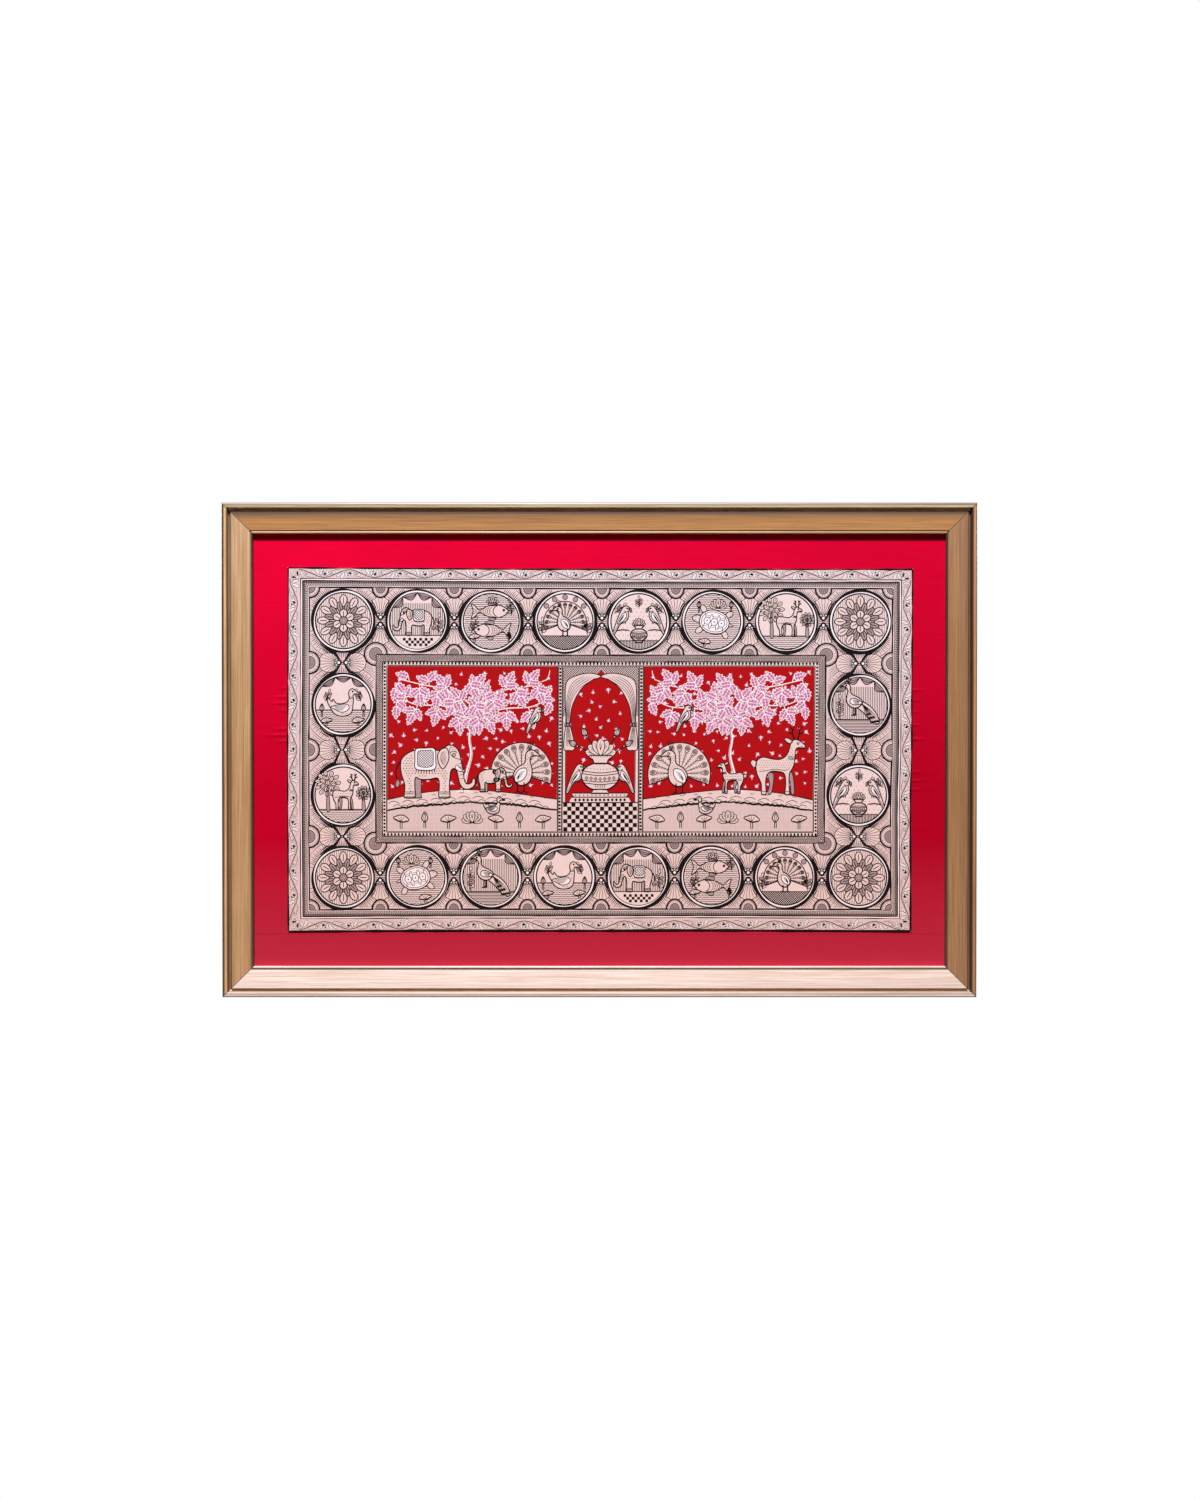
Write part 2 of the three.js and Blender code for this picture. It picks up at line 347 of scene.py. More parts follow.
def foliage_leaf(b, length, width):
    """A lobed pink leaf with a thick white edge, a white midrib and plum strokes beside it."""
    half = []
    for i in range(LEAF_LOBES * 2 + 1):
        t = i / (LEAF_LOBES * 2)
        swell = math.sin(math.pi * (t * 0.92 + 0.05) ** 0.75)
        half.append((width / 2 * swell * (0.66 if i % 2 == 0 else 1.08), length * t))
    outline = half + [(-x, y) for x, y in half[-2:0:-1]]
    b.plate(outline, "pink", smooth=False)
    b.line(outline, 1.5, "white", closed=True, smooth=False)
    b.rule([(0, -1.5), (0, length * 0.9)], 1.0, "white")
    for i in range(1, LEAF_LOBES + 1):
        y = length * (i - 0.62) / LEAF_LOBES
        for side in (-1, 1):
            b.rule([(side * 0.6, y), (side * width * 0.3, y + length * 0.13)], 0.8, "plum")


print("lotus and leaves ready")

# %% [markdown]
# Sprays and small trees stand round the animals. The corner rings hold a whole lotus seen from above.

# %% Sprays, trees and the lotus from above
MANDALA_RADIUS = 38
# Each ring of petals: how many, and their foot, length and width as shares of the radius.
MANDALA_PETALS = ((12, 0.54, 0.46, 0.27), (12, 0.3, 0.44, 0.2), (6, 0.1, 0.34, 0.28))


def ink_spray(b, length, leaves, size):
    """A leafy twig in ink only."""
    b.line([(0, 0), (length * 0.08, length * 0.5), (0, length)], 0.8)
    for i in range(leaves):
        side = 1 if i % 2 else -1
        tip = b.moved((0, length * (0.2 + 0.7 * i / leaves)), turn=-side * 52)
        tip.shape(petal(size, size * 0.5), "wash" if i % 3 else "cream", 0.6)
    b.moved((0, length)).shape(petal(size, size * 0.5), "cream", 0.6)


def leafy_tree(b, height):
    """A small round tree in ink, with a crown of single leaves."""
    b.shape([(-2, 0), (-1, height * 0.55), (1, height * 0.55), (3, 0)], "wash", 0.7)
    crown = b.moved((0, height * 0.7))
    for count, reach in ((11, 0.24), (7, 0.12), (1, 0.0)):
        for i in range(count):
            turn = 360 * i / count + 12
            tip = crown.moved(turn=turn, lift=0.3 * (0.24 - reach) * 10).moved((0, reach * height - 3))
            tip.shape(petal(height * 0.17, height * 0.1), "cream", 0.7)
            tip.line([(0, 1), (0, height * 0.13)], 0.45)


def mandala(b):
    """A full-blown lotus seen from above, on hatched water."""
    radius = MANDALA_RADIUS
    b.hatch(arc((0, 0), radius * 1.05, 0, 360)[:-1], 90, 3.2, 0.45, smooth=False)
    for ring, (count, foot, length, width) in enumerate(MANDALA_PETALS):
        for i in range(count):
            turn = 360 * (i + 0.5 * (ring % 2)) / count
            tip = b.moved(turn=turn, lift=ring + 1).moved((0, foot * radius))
            tip.shape(petal(length * radius, width * radius), "wash" if ring == 1 else "cream", 0.9)
            tip.line([(0, length * radius * 0.2), (0, length * radius * 0.8)], 0.8)
    heart = b.moved(lift=4)
    heart.disc((0, 0), radius * 0.15, "wash")
    heart.ring((0, 0), radius * 0.15, 1.0)
    for i in range(6):
        heart.dot(arc((0, 0), radius * 0.08, 60 * i, 60 * i + 1)[0], 0.6)


print("sprays and trees ready")

# %% [markdown]
# The round pictures have water or a chequered floor below, and some have swags of cloth above.

# %% Water, floors and swags
WAVE_LENGTH = 5.0
WAVE_RISE = 0.7
PICTURED_RADIUS = 40.5
GROUND_RADIUS = 40.8


def water(b, outline):
    """Rows of little water waves inside an outline."""
    edge = np.asarray(outline, float)
    low, high = edge.min(0), edge.max(0)
    for row, y in enumerate(np.arange(low[1] + 1.5, high[1], WAVE_LENGTH * 0.55)):
        spots = np.arange(low[0] + WAVE_LENGTH * 0.25 * (row % 2), high[0], WAVE_LENGTH / 2)
        points = np.column_stack([spots, y + WAVE_RISE * (np.arange(len(spots)) % 2)])
        for run in runs(points, inside(edge, points)):
            if len(run) > 2:
                b.rule(run, 0.6)


def checks(b, outline, pitch):
    """A floor of black and pale squares inside an outline."""
    edge = np.asarray(outline, float)
    low, high = edge.min(0), edge.max(0)
    for row, y in enumerate(np.arange(low[1], high[1] - 0.5 * pitch, pitch)):
        for x in np.arange(low[0] + pitch * (row % 2), high[0] - 0.5 * pitch, pitch * 2):
            square = np.array([(x, y), (x + pitch, y), (x + pitch, y + pitch), (x, y + pitch)])
            if inside(edge, square * 0.98 + square.mean(0) * 0.02).sum() > 3:
                b.plate(square, "ink", smooth=False)


def disc_below(radius, height):
    """The part of a disc that lies below a height."""
    angle = math.degrees(math.asin(height / radius))
    return arc((0, 0), radius, 180 - angle, 360 + angle)


def swags(b, scallops=4, drop=9, first=28, last=152):
    """Cloth swags hung along the top of a round picture."""
    width = (last - first) / scallops
    for i in range(scallops):
        start = first + i * width
        outer = arc((0, 0), PICTURED_RADIUS, start, start + width)
        middle = math.radians(start + width / 2)
        sag = (PICTURED_RADIUS - drop) * np.array([math.cos(middle), math.sin(middle)])
        lower = curve([outer[-1], sag, outer[0]])
        b.plate(np.vstack([outer, lower[1:-1]]), "wash", smooth=False)
        high_ones, low_ones = outer[::-1][[0, len(outer) // 2, -1]], lower[[0, len(lower) // 2, -1]]
        for share in (0, 0.35, 0.65):
            b.line(high_ones * share + low_ones * (1 - share), 0.8 - 0.4 * share)
        b.dot(outer[0], 1.1)


print("water, floors and swags ready")

# %% [markdown]
# ## Animals
# Elephants, deer and birds are traditional in this kind of painting. These are plain generic ones, each an
# outline of a few dozen points with patterned cloth, feathers or spots drawn on it.

# %% Elephant
def eye(b, at, radius, pupil, width=0.6):
    """A ring with a dot in it."""
    b.ring(at, radius, width)
    b.dot(at, pupil)


def elephant(b, rug=True):
    """An elephant walking to the right, 120 wide and 85 tall, with a fringed cloth on its back."""
    for x0, x1, y in ((22, 36, 28), (66, 78, 30)):
        b.shape([(x0 + 8, y + 6), (x0 + 9, 4), (x0 + 8, 0), (x1 + 9, 0), (x1 + 9, 5), (x1 + 8, y + 6)], "wash", 0.8)
    b = b.moved(lift=1)
    body = [(12, 52), (15, 63), (26, 72), (42, 77), (60, 78), (72, 75), (80, 79), (90, 84), (100, 80), (106, 70),
            (109, 56), (112, 42), (114, 28), (118, 22), (125, 24), (127, 30), (131, 29), (130, 20), (122, 14),
            (112, 15), (106, 24), (103, 38), (99, 46), (93, 44), (91, 34), (90, 16), (91, 3), (88, 0), (76, 0),
            (73, 4), (74, 20), (71, 31), (58, 29), (44, 29), (36, 32), (35, 18), (36, 3), (33, 0), (20, 0), (18, 4),
            (19, 20), (14, 36)]
    b.shape(body, "cream", 1.1)
    coarse = b.size**0.5
    b.stipple([(16, 50), (20, 62), (32, 70), (34, 44), (68, 42), (70, 70), (76, 72), (74, 44), (86, 42), (84, 8),
               (80, 8), (78, 34), (44, 33), (31, 36), (30, 8), (24, 8), (24, 24), (18, 38)],
              4.4 * coarse, 0.95 * coarse, margin=0.3)
    b = b.moved(lift=1)
    b.shape([(86, 78), (77, 77), (71, 68), (73, 54), (79, 46), (85, 52), (89, 64)], "cream", 1.0)
    b.line([(84, 73), (78, 71), (76, 62), (79, 53)], 0.6)
    b.hatch([(84, 70), (78, 68), (77, 58), (80, 51), (84, 56)], 80, 1.8, 0.4)
    b.shape([(99, 47), (106, 42), (116, 42), (108, 46), (102, 52)], "white", 0.7)
    eye(b, (97, 68), 2.6, 0.9, 0.7)
    b.line([(91, 72), (97, 74), (102, 71)], 0.6)
    for y in (60, 54, 48, 42, 36, 30):
        b.rule([(104 + (60 - y) * 0.08, y), (110 + (60 - y) * 0.1, y + 1)], 0.45)
    b.line([(12, 58), (6, 48), (5, 36), (8, 28)], 1.1)
    b.shape([(8, 29), (4, 22), (7, 16), (11, 22)], "wash", 0.6)
    for x in (20, 76):
        for y in (6, 9):
            b.rule([(x - 1, y), (x + 15, y)], 0.6)
        for i in range(3):
            b.line(arc((x + 3 + 5 * i, 0), 2.2, 20, 160), 0.5, smooth=False)
    b.line([(92, 82), (90, 74), (94, 66), (102, 62), (108, 62)], 0.6)
    b.stipple([(91, 83), (99, 80), (106, 69), (99, 72), (93, 76)], 3.2, 0.7, margin=0.3)
    if rug:
        b.shape([(36, 76.5), (50, 78.5), (66, 77.5), (68, 60), (67, 46), (52, 43), (36, 46), (35, 60)], "white", 0.9)
        inner = [(40, 73), (52, 75), (63, 74), (64, 60), (63, 51), (52, 48), (40, 51), (39, 60)]
        b.line(inner, 0.6, closed=True)
        b.hatch(inner, 45, 2.6, 0.45)
        b.hatch(inner, -45, 2.6, 0.45)
        for i in range(8):
            x, y = 37 + i * 4.2, 45.5 - 1.2 * math.sin(i / 7 * math.pi)
            b.line([(x, y), (x, y - 5.5)], 0.8)


print("elephant ready")

# %% Deer
def deer(b, antlers=True):
    """A spotted deer standing and looking to the right, 95 wide and 120 tall."""
    for far_leg in ([(28, 36), (32, 18), (29, 2), (35, 2), (38, 18), (38, 36)],
                    [(62, 36), (68, 20), (70, 2), (75, 2), (74, 22), (70, 38)]):
        b.shape(far_leg, "wash", 0.7)
    b = b.moved(lift=1)
    body = [(7, 50), (10, 60), (20, 65), (34, 62), (48, 61), (58, 66), (64, 76), (67, 88), (72, 95), (80, 95), (90, 88),
            (93, 84), (89, 81), (81, 82), (76, 78), (75, 68), (74, 54), (70, 44), (66, 36), (66, 18), (67, 3), (66, 0),
            (60, 0), (59, 4), (60, 20), (57, 36), (46, 40), (34, 40), (27, 34), (25, 22), (26, 4), (25, 0), (19, 0),
            (18, 4), (17, 20), (10, 34)]
    b.shape(body, "cream", 1.0)
    b.stipple([(12, 56), (20, 62), (48, 58), (60, 66), (70, 84), (72, 60), (66, 46), (48, 44), (30, 44), (14, 42)],
              3.6, 0.6, margin=0.6)
    b.line([(12, 40), (24, 41), (40, 44), (58, 42), (66, 46)], 0.6)
    b.shape([(8, 56), (2, 60), (-2, 56), (1, 49), (7, 48)], "cream", 0.7)
    b.shape([(70, 93), (62, 98), (56, 97), (61, 91), (67, 89)], "cream", 0.8)
    eye(b, (80, 89), 2.0, 0.7)
    b.line([(89, 83), (85, 84)], 0.5)
    for y, half in ((66, 5.4), (63.5, 5.8), (61, 6.2)):
        b.rule([(69 - half, y + 1), (69 + half, y - 1)], 0.6)
    for x in (20, 60):
        b.rule([(x - 1.5, 5), (x + 6, 5)], 0.6)
    if antlers:
        for antler in ([(75, 95), (70, 106), (72, 118)], [(78, 95), (82, 106), (80, 119)]):
            b.line(antler, 1.2)
        for x0, y0, x1, y1 in ((71, 105, 63, 110), (71, 112, 66, 118), (81.5, 105, 90, 109), (81.5, 112, 87, 118)):
            b.line([(x0, y0), (x1, y1)], 0.9)


print("deer ready")

# %% Birds, fish and turtle
def swan(b):
    """A swan with a scrolled tail, facing right, 95 wide and 85 tall."""
    b.shape([(70, 30), (66, 14), (50, 5), (30, 5), (14, 14), (4, 30), (-4, 46), (-2, 56), (5, 50), (10, 46), (12, 54),
             (18, 46), (22, 42), (34, 40), (46, 42), (56, 48), (60, 58), (58, 68), (60, 78), (68, 84), (76, 81),
             (82, 75), (92, 71), (94, 68), (84, 67), (76, 69), (71, 64), (72, 52)], "cream", 1.0)
    b.stipple([(62, 44), (68, 50), (66, 26), (52, 10), (36, 9), (30, 15), (52, 16), (64, 30)], 3.4, 0.7, margin=0.4)
    b.shape([(54, 38), (36, 38), (14, 34), (6, 30), (18, 24), (34, 16), (50, 18), (60, 28)], "white", 0.8)
    for i in range(5):
        b.line([(54 - i * 3, 34 - i * 3), (32 - i * 2, 34 - i * 3.2), (12 + i * 3, 31 - i * 2.4)], 0.5)
    eye(b, (70, 76), 1.9, 0.7)
    b.line([(80, 71), (92, 69.5)], 0.5)
    for y in (56, 60):
        b.rule([(59, y), (72, y - 1)], 0.6)


def parrot(b):
    """A parrot perched and facing right, about 60 wide and 90 tall."""
    b.shape([(50, 66), (47, 76), (37, 81), (27, 77), (20, 66), (12, 50), (4, 30), (-4, 6), (-9, -14), (-3, -16), (6, 0),
             (14, 14), (24, 22), (36, 28), (44, 40), (45, 54), (44, 62)], "cream", 1.0)
    b.shape([(47, 75), (55, 71), (56, 63), (52, 58), (50, 66), (45, 68)], "wash", 0.8)
    b.stipple([(40, 56), (42, 42), (34, 32), (26, 28), (38, 44)], 3.2, 0.65, margin=0.2)
    b.shape([(34, 58), (24, 52), (12, 34), (6, 18), (18, 22), (32, 34), (38, 46)], "white", 0.8)
    for i in range(4):
        b.line([(32 - 2 * i, 52 - 4 * i), (22 - 2 * i, 42 - 5 * i), (12 - i, 26 - 2 * i)], 0.5)
    b.line([(-6, -13), (4, 6), (14, 20)], 0.5)
    eye(b, (40, 72), 2.2, 0.7)
    b.line([(29, 64), (36, 60), (44, 62)], 0.7)
    for x in (28, 34):
        b.line([(x, 26), (x + 1, 18)], 0.9)


def fish(b):
    """A fish facing right, 104 long and 40 tall."""
    b.shape([(98, 20), (86, 32), (64, 38), (38, 32), (20, 23), (8, 34), (-2, 40), (3, 20), (-2, 0), (8, 6), (20, 17),
             (38, 8), (64, 2), (86, 8)], "cream", 1.0)
    b.shape([(70, 37), (58, 47), (44, 44), (48, 35)], "wash", 0.7)
    b.shape([(66, 3), (56, -6), (46, -3), (50, 5)], "wash", 0.7)
    b.line(arc((72, 20), 15, 100, 260), 0.8, smooth=False)
    for i in range(6):
        b.line(arc((60 - i * 7, 20), 13 - i * 1.3, 115, 245), 0.5, smooth=False)
        b.dot((57 - i * 7, 20), 0.5)
    for y in (12, 20, 28):
        b.line([(2, y), (14, 20 + (y - 20) * 0.3)], 0.5)
    eye(b, (86, 23), 2.8, 1.0, 0.7)
    b.line([(97, 18), (90, 15)], 0.6)


def turtle(b):
    """A turtle seen from above, heading right, 100 long."""
    for x, y, turn in ((20, 16, 40), (70, 17, -40), (20, -16, 140), (70, -17, -140)):
        b.moved((x, y), turn=turn).shape(petal(26, 14), "cream", 0.8)
    b.shape([(80, 7), (92, 9), (101, 5), (103, 0), (101, -5), (92, -9), (80, -7)], "cream", 0.9)
    b.shape([(8, 4), (-6, 0), (8, -4)], "cream", 0.7)
    b = b.moved(lift=1)
    half = [(84, 0), (78, 18), (60, 29), (40, 30), (20, 24), (8, 10), (6, 0)]
    shell = half + [(x, -y) for x, y in half[-2:0:-1]]
    b.shape(shell, "white", 1.0)
    b.line([(x * 0.86 + 6.4, y * 0.84) for x, y in shell], 0.6, closed=True)
    for x in (26, 45, 64):
        b.shape([(x - 9, 0), (x - 5, 9), (x + 5, 9), (x + 9, 0), (x + 5, -9), (x - 5, -9)], "cream", 0.7, smooth=False)
        b.dot((x, 0), 1.1)
        for side in (-1, 1):
            for x0, y0, x1, y1, width in ((5, 9, 9, 20, 0.6), (-5, 9, -8, 20, 0.6), (-4, 14, 6, 14, 0.4)):
                b.rule([(x + x0, side * y0), (x + x1, side * y1)], width)
    for side in (-1, 1):
        b.dot((95, side * 4), 0.6)


print("swan, parrot, fish and turtle ready")

# %% Peacocks
TRAILING_FEATHERS, FAN_FEATHERS = 9, 13


def feather_eye(b, size):
    """The eye at the tip of a peacock's tail feather."""
    b.shape(petal(size * 1.5, size), "cream", 0.7)
    b.shape([(x * 0.6, y * 0.6 + size * 0.45) for x, y in petal(size * 1.3, size)], "wash", 0.6)
    b.dot((0, size * 0.85), 0.9)


def peacock(b):
    """A peacock facing right with its tail trailing down to the left, about 110 wide and 115 tall."""
    b.shape([(26, 46), (10, 40), (-10, 26), (-28, 4), (-38, -22), (-30, -30), (-14, -24), (2, -8), (16, 8), (36, 26)],
            "cream", 1.0)
    for i in range(TRAILING_FEATHERS):
        t = i / (TRAILING_FEATHERS - 1)
        x, y = -34 + 44 * t, -16 - 10 * math.sin(t * math.pi) + 14 * t
        b.line([(26 - 0.6 * i, 40 - i * 0.6), ((26 + x) / 2 - 4, (40 + y) / 2 + 4), (x, y)], 0.5)
    for count, reach in ((4, 0.95), (3, 0.74), (2, 0.54)):
        for i in range(count):
            t = (i + 0.5) / count
            x, y = 26 - 62 * reach + 30 * reach * t, 42 - 62 * reach - 6 * t
            feather_eye(b.moved((x, y), 0.66, turn=138 - 10 * t, lift=1), 8)
    b = b.moved(lift=2)
    for x in (40, 48):
        b.line([(x, 24), (x + 2, 6), (x - 2, 0)], 1.3, taper=False)
        b.line([(x - 2, 0), (x + 8, -2)], 1.0)
    b.shape([(84, 98), (76, 104), (67, 104), (60, 98), (58, 88), (58, 76), (50, 66), (36, 60), (22, 50), (18, 40),
             (26, 30), (38, 23), (52, 24), (64, 32), (71, 44), (72, 58), (68, 72), (68, 82), (72, 90), (78, 94),
             (90, 93), (94, 91), (88, 97)], "cream", 1.1)
    b.shape([(56, 54), (42, 54), (26, 46), (20, 38), (34, 34), (50, 34), (60, 42)], "white", 0.9)
    for i in range(5):
        b.line([(54 - i * 2, 50 - i * 3.2), (40 - i * 2, 49 - i * 3), (26 + i * 2, 43 - i * 1.6)], 0.5)
    b.stipple([(60, 90), (60, 76), (54, 64), (62, 56), (70, 58), (66, 72), (66, 84)], 3.2, 0.7, margin=0.4)
    eye(b, (73, 98), 2.4, 0.8)
    for x, y in ((58, 118), (65, 121), (72, 121)):
        b.rule([(67, 104), (x, y)], 0.7)
        b.dot((x, y), 1.4)


def dancing_peacock(b):
    """A peacock with its tail spread in a fan behind it, 110 wide and 105 tall, its neck turned right."""
    hub, reach = (0, 34), 52
    b.shape([hub] + list(map(tuple, arc(hub, reach, 200, -20))), "cream", 1.0, smooth=False)
    for i in range(FAN_FEATHERS):
        turn = -105 + 210 * i / (FAN_FEATHERS - 1)
        quill = b.moved(hub, turn=turn)
        quill.rule([(0, 8), (0, reach - 12)], 0.7)
        for y in range(18, reach - 12, 5):
            quill.line([(-y * 0.11, y + 4), (0, y), (y * 0.11, y + 4)], 0.4, smooth=False, taper=False)
        feather_eye(quill.moved((0, reach - 15), lift=1), 8)
    b = b.moved(lift=2)
    for x in (-6, 5):
        b.rule([(x, 18), (x, 4)], 1.3)
        b.line([(x - 5, 0), (x, 4), (x + 6, 0)], 1.0, smooth=False)
    b.shape([(27, 68), (20, 73), (12, 72), (7, 66), (7, 57), (4, 50), (-6, 44), (-13, 34), (-12, 22), (-4, 14), (6, 14),
             (14, 20), (18, 30), (18, 42), (15, 52), (15, 60), (20, 64), (32, 63)], "cream", 1.1)
    b.stipple([(9, 64), (14, 62), (12, 52), (16, 44), (14, 26), (10, 40), (0, 44), (8, 52)], 3.2, 0.65, margin=0.3)
    b.shape([(8, 42), (-4, 40), (-11, 28), (-9, 19), (2, 22), (9, 32)], "white", 0.8)
    for i in range(4):
        b.line([(6 - i * 2, 38 - i * 3), (-2 - i, 34 - i * 3), (-8 + i, 24 - i)], 0.5)
    eye(b, (18, 67.5), 2.2, 0.7)
    for dx, dy in ((-4, 14), (1, 16), (6, 15)):
        b.rule([(14, 72), (14 + dx, 72 + dy)], 0.6)
        b.dot((14 + dx, 72 + dy), 1.0)


print("peacocks ready")

# %% Vase
def vase(b, buds=True):
    """A full vase with a lotus and buds, 60 wide and 110 tall with its flowers."""
    if buds:
        for turn, reach in ((-58, 44), (-30, 44), (30, 44), (58, 44)):
            stalk = b.moved((0, 50), turn=turn)
            stalk.line([(0, 0), (2, reach * 0.5), (0, reach)], 1.0, taper=False)
            bud(stalk.moved((0, reach), lift=1), 13, 3)
    lotus(b.moved((0, 58), lift=2), 26, 7)
    b = b.moved(lift=6)
    b.shape(mirrored([(0, 6), (12, 6), (24, 14), (29, 26), (24, 38), (12, 45), (0, 46)]), "cream", 1.2)
    b.shape(mirrored([(14, 0), (9, 6)]), "cream", 1.0, smooth=False)
    b.shape(mirrored([(9, 45), (12, 52), (17, 55), (17, 58)]), "cream", 1.0, smooth=False)
    for y, half in ((34, 26.5), (30, 28), (20, 27.5), (16, 25.5)):
        b.line([(-half, y), (0, y - 3), (half, y)], 0.8, taper=False)
    for i in range(7):
        x = -21 + 7 * i
        diamond = b.moved((x, 23.5 - 2.4 * (1 - abs(x) / 24)))
        diamond.shape([(0, -3), (2.6, 0), (0, 3), (-2.6, 0)], "wash", 0.6, smooth=False)
    for i in range(9):
        b.dot((-20 + 5 * i, 38 - 1.5 * (1 - abs(-20 + 5 * i) / 20)), 0.7)
        b.rule([(-14 + 3.5 * i, 55.2), (-14 + 3.5 * i, 57.6)], 0.5)
    for i in range(5):
        b.line([(-8 + 4 * i, 14), (-6 + 3 * i, 8)], 0.6)


print("vase ready")

# %% [markdown]
# ## From marks to meshes
# Each stroke becomes a low closed ridge with its crest in the middle, as ink that stands a little proud, and each
# filled shape becomes a thin closed plate. Both are first made flat, in the plane of the picture. Plain arrays
# keep this quick, because the picture holds many thousands of marks.

# %% Meshes of strokes and plates
PLATE_DEPTH = 0.02


def stroke_mesh(p, widths, height, closed):
    """A closed ridge along a line: left foot, crest and right foot at every point."""
    if closed:
        p, widths = np.vstack([p, p[:1]]), np.r_[widths, widths[:1]]
    ahead = np.gradient(p, axis=0)
    if closed:
        ahead[0] = ahead[-1] = p[1] - p[-2]
    ahead /= np.maximum(np.linalg.norm(ahead, axis=1), 1e-9)[:, None]
    side = np.column_stack([-ahead[:, 1], ahead[:, 0]]) * (widths / 2)[:, None]
    n = len(p)
    corners = np.empty((n, 3, 3))
    foot = height - LINE_SINK
    for column, (place, high) in enumerate(((p + side, foot), (p, height), (p - side, foot))):
        corners[:, column, 0], corners[:, column, 1], corners[:, column, 2] = place[:, 0], high, place[:, 1]
    left = 3 * np.arange(n - 1)
    crest, right = left + 1, left + 2
    faces = []
    for a, b in ((crest, left), (right, crest), (left, right)):
        faces += [np.column_stack([a, a + 3, b + 3]), np.column_stack([a, b + 3, b])]
    last = 3 * (n - 1)
    faces.append(np.array([(0, 2, 1), (last, last + 1, last + 2)]))
    return corners.reshape(-1, 3), np.vstack(faces)


def plate_mesh(p, height):
    """A closed thin plate with that outline."""
    if np.sum(p[:, 0] * np.roll(p[:, 1], -1) - p[:, 1] * np.roll(p[:, 0], -1)) < 0:
        p = p[::-1]
    n = len(p)
    top = np.column_stack([p[:, 0], np.full(n, height), p[:, 1]])
    foot = top - (0, PLATE_DEPTH, 0)
    front = np.array(tessellate_polygon([[Vector((x, y, 0)) for x, y in p]])).reshape(-1, 3)
    a, b, c = p[front[:, 0]], p[front[:, 1]], p[front[:, 2]]
    turned = (b[:, 0] - a[:, 0]) * (c[:, 1] - a[:, 1]) - (b[:, 1] - a[:, 1]) * (c[:, 0] - a[:, 0]) < 0
    front[turned] = front[turned][:, ::-1]
    i = np.arange(n)
    after = (i + 1) % n
    sides = np.vstack([np.column_stack([i + n, after + n, after]), np.column_stack([i + n, after, i])])
    return np.vstack([top, foot]), np.vstack([front, front[:, ::-1] + n, sides])


print("strokes and plates have a shape")

# %% [markdown]
# The arrays are joined by paint. They become Blender meshes for the node trees below and for the finished pieces.

# %% Arrays to Blender meshes and back
def join(pieces):
    """One pair of arrays from several (points, triangles) pairs."""
    points, faces, start = [], [], 0
    for some_points, some_faces in pieces:
        points.append(some_points)
        faces.append(some_faces + start)
        start += len(some_points)
    return np.vstack(points), np.vstack(faces)


def marks_to_arrays(marks):
    """{paint: (points, triangles)} of flat marks, in mm as (u, height, v)."""
    by_paint = defaultdict(list)
    for kind, paint, level, p, widths, closed in marks:
        height = PAINT_HEIGHT[paint] + level * LEVEL
        made = stroke_mesh(p, widths, height, closed) if kind == "line" else plate_mesh(p, height)
        by_paint[paint].append(made)
    return {paint: join(pieces) for paint, pieces in by_paint.items()}


def mesh_from(name, points, faces):
    """A Blender mesh from arrays of points in metres and triangles."""
    mesh = bpy.data.meshes.new(name)
    mesh.vertices.add(len(points))
    mesh.vertices.foreach_set("co", np.ascontiguousarray(points, np.float32).ravel())
    mesh.loops.add(3 * len(faces))
    mesh.loops.foreach_set("vertex_index", np.ascontiguousarray(faces, np.int32).ravel())
    mesh.polygons.add(len(faces))
    mesh.polygons.foreach_set("loop_start", np.arange(0, 3 * len(faces), 3, dtype=np.int32))
    mesh.update(calc_edges=True)
    mesh.validate()
    mesh.shade_flat()
    return mesh


def arrays_of(mesh):
    """The points and triangles of a mesh."""
    mesh.calc_loop_triangles()
    points = np.empty(3 * len(mesh.vertices), np.float32)
    faces = np.empty(3 * len(mesh.loop_triangles), np.int32)
    mesh.vertices.foreach_get("co", points)
    mesh.loop_triangles.foreach_get("vertices", faces)
    return points.reshape(-1, 3).astype(float), faces.reshape(-1, 3)


def linked(name, mesh):
    """A new object at the origin that shows a mesh."""
    made = bpy.data.objects.new(name, mesh)
    bpy.context.scene.collection.objects.link(made)
    return made


print("meshes of marks ready")

# %% [markdown]
# ## Node trees for what repeats
# Much of this painting is repetition: rings, the ornament that links them, rows of dots and short strokes, and
# small flowers strewn on the red. Geometry Nodes does that in Blender. Three small trees are enough: one puts a
# motif at given places, one lays it out in a row, and one strews it over an area with a fixed seed.

# %% A node helper and the three trees
FULL_SIZE = (1.0, 1.0, 1.0)
MOST_PER_SQUARE_METRE = 90000.0


def add(tree, kind, inputs=(), **settings):
    """A node with its settings. inputs gives each socket a value, or the output that feeds it."""
    made = tree.nodes.new(kind)
    for name, value in settings.items():
        setattr(made, name, value)
    for socket, value in dict(inputs).items():
        if isinstance(value, bpy.types.NodeSocket):
            tree.links.new(value, made.inputs[socket])
        else:
            made.inputs[socket].default_value = value
    return made


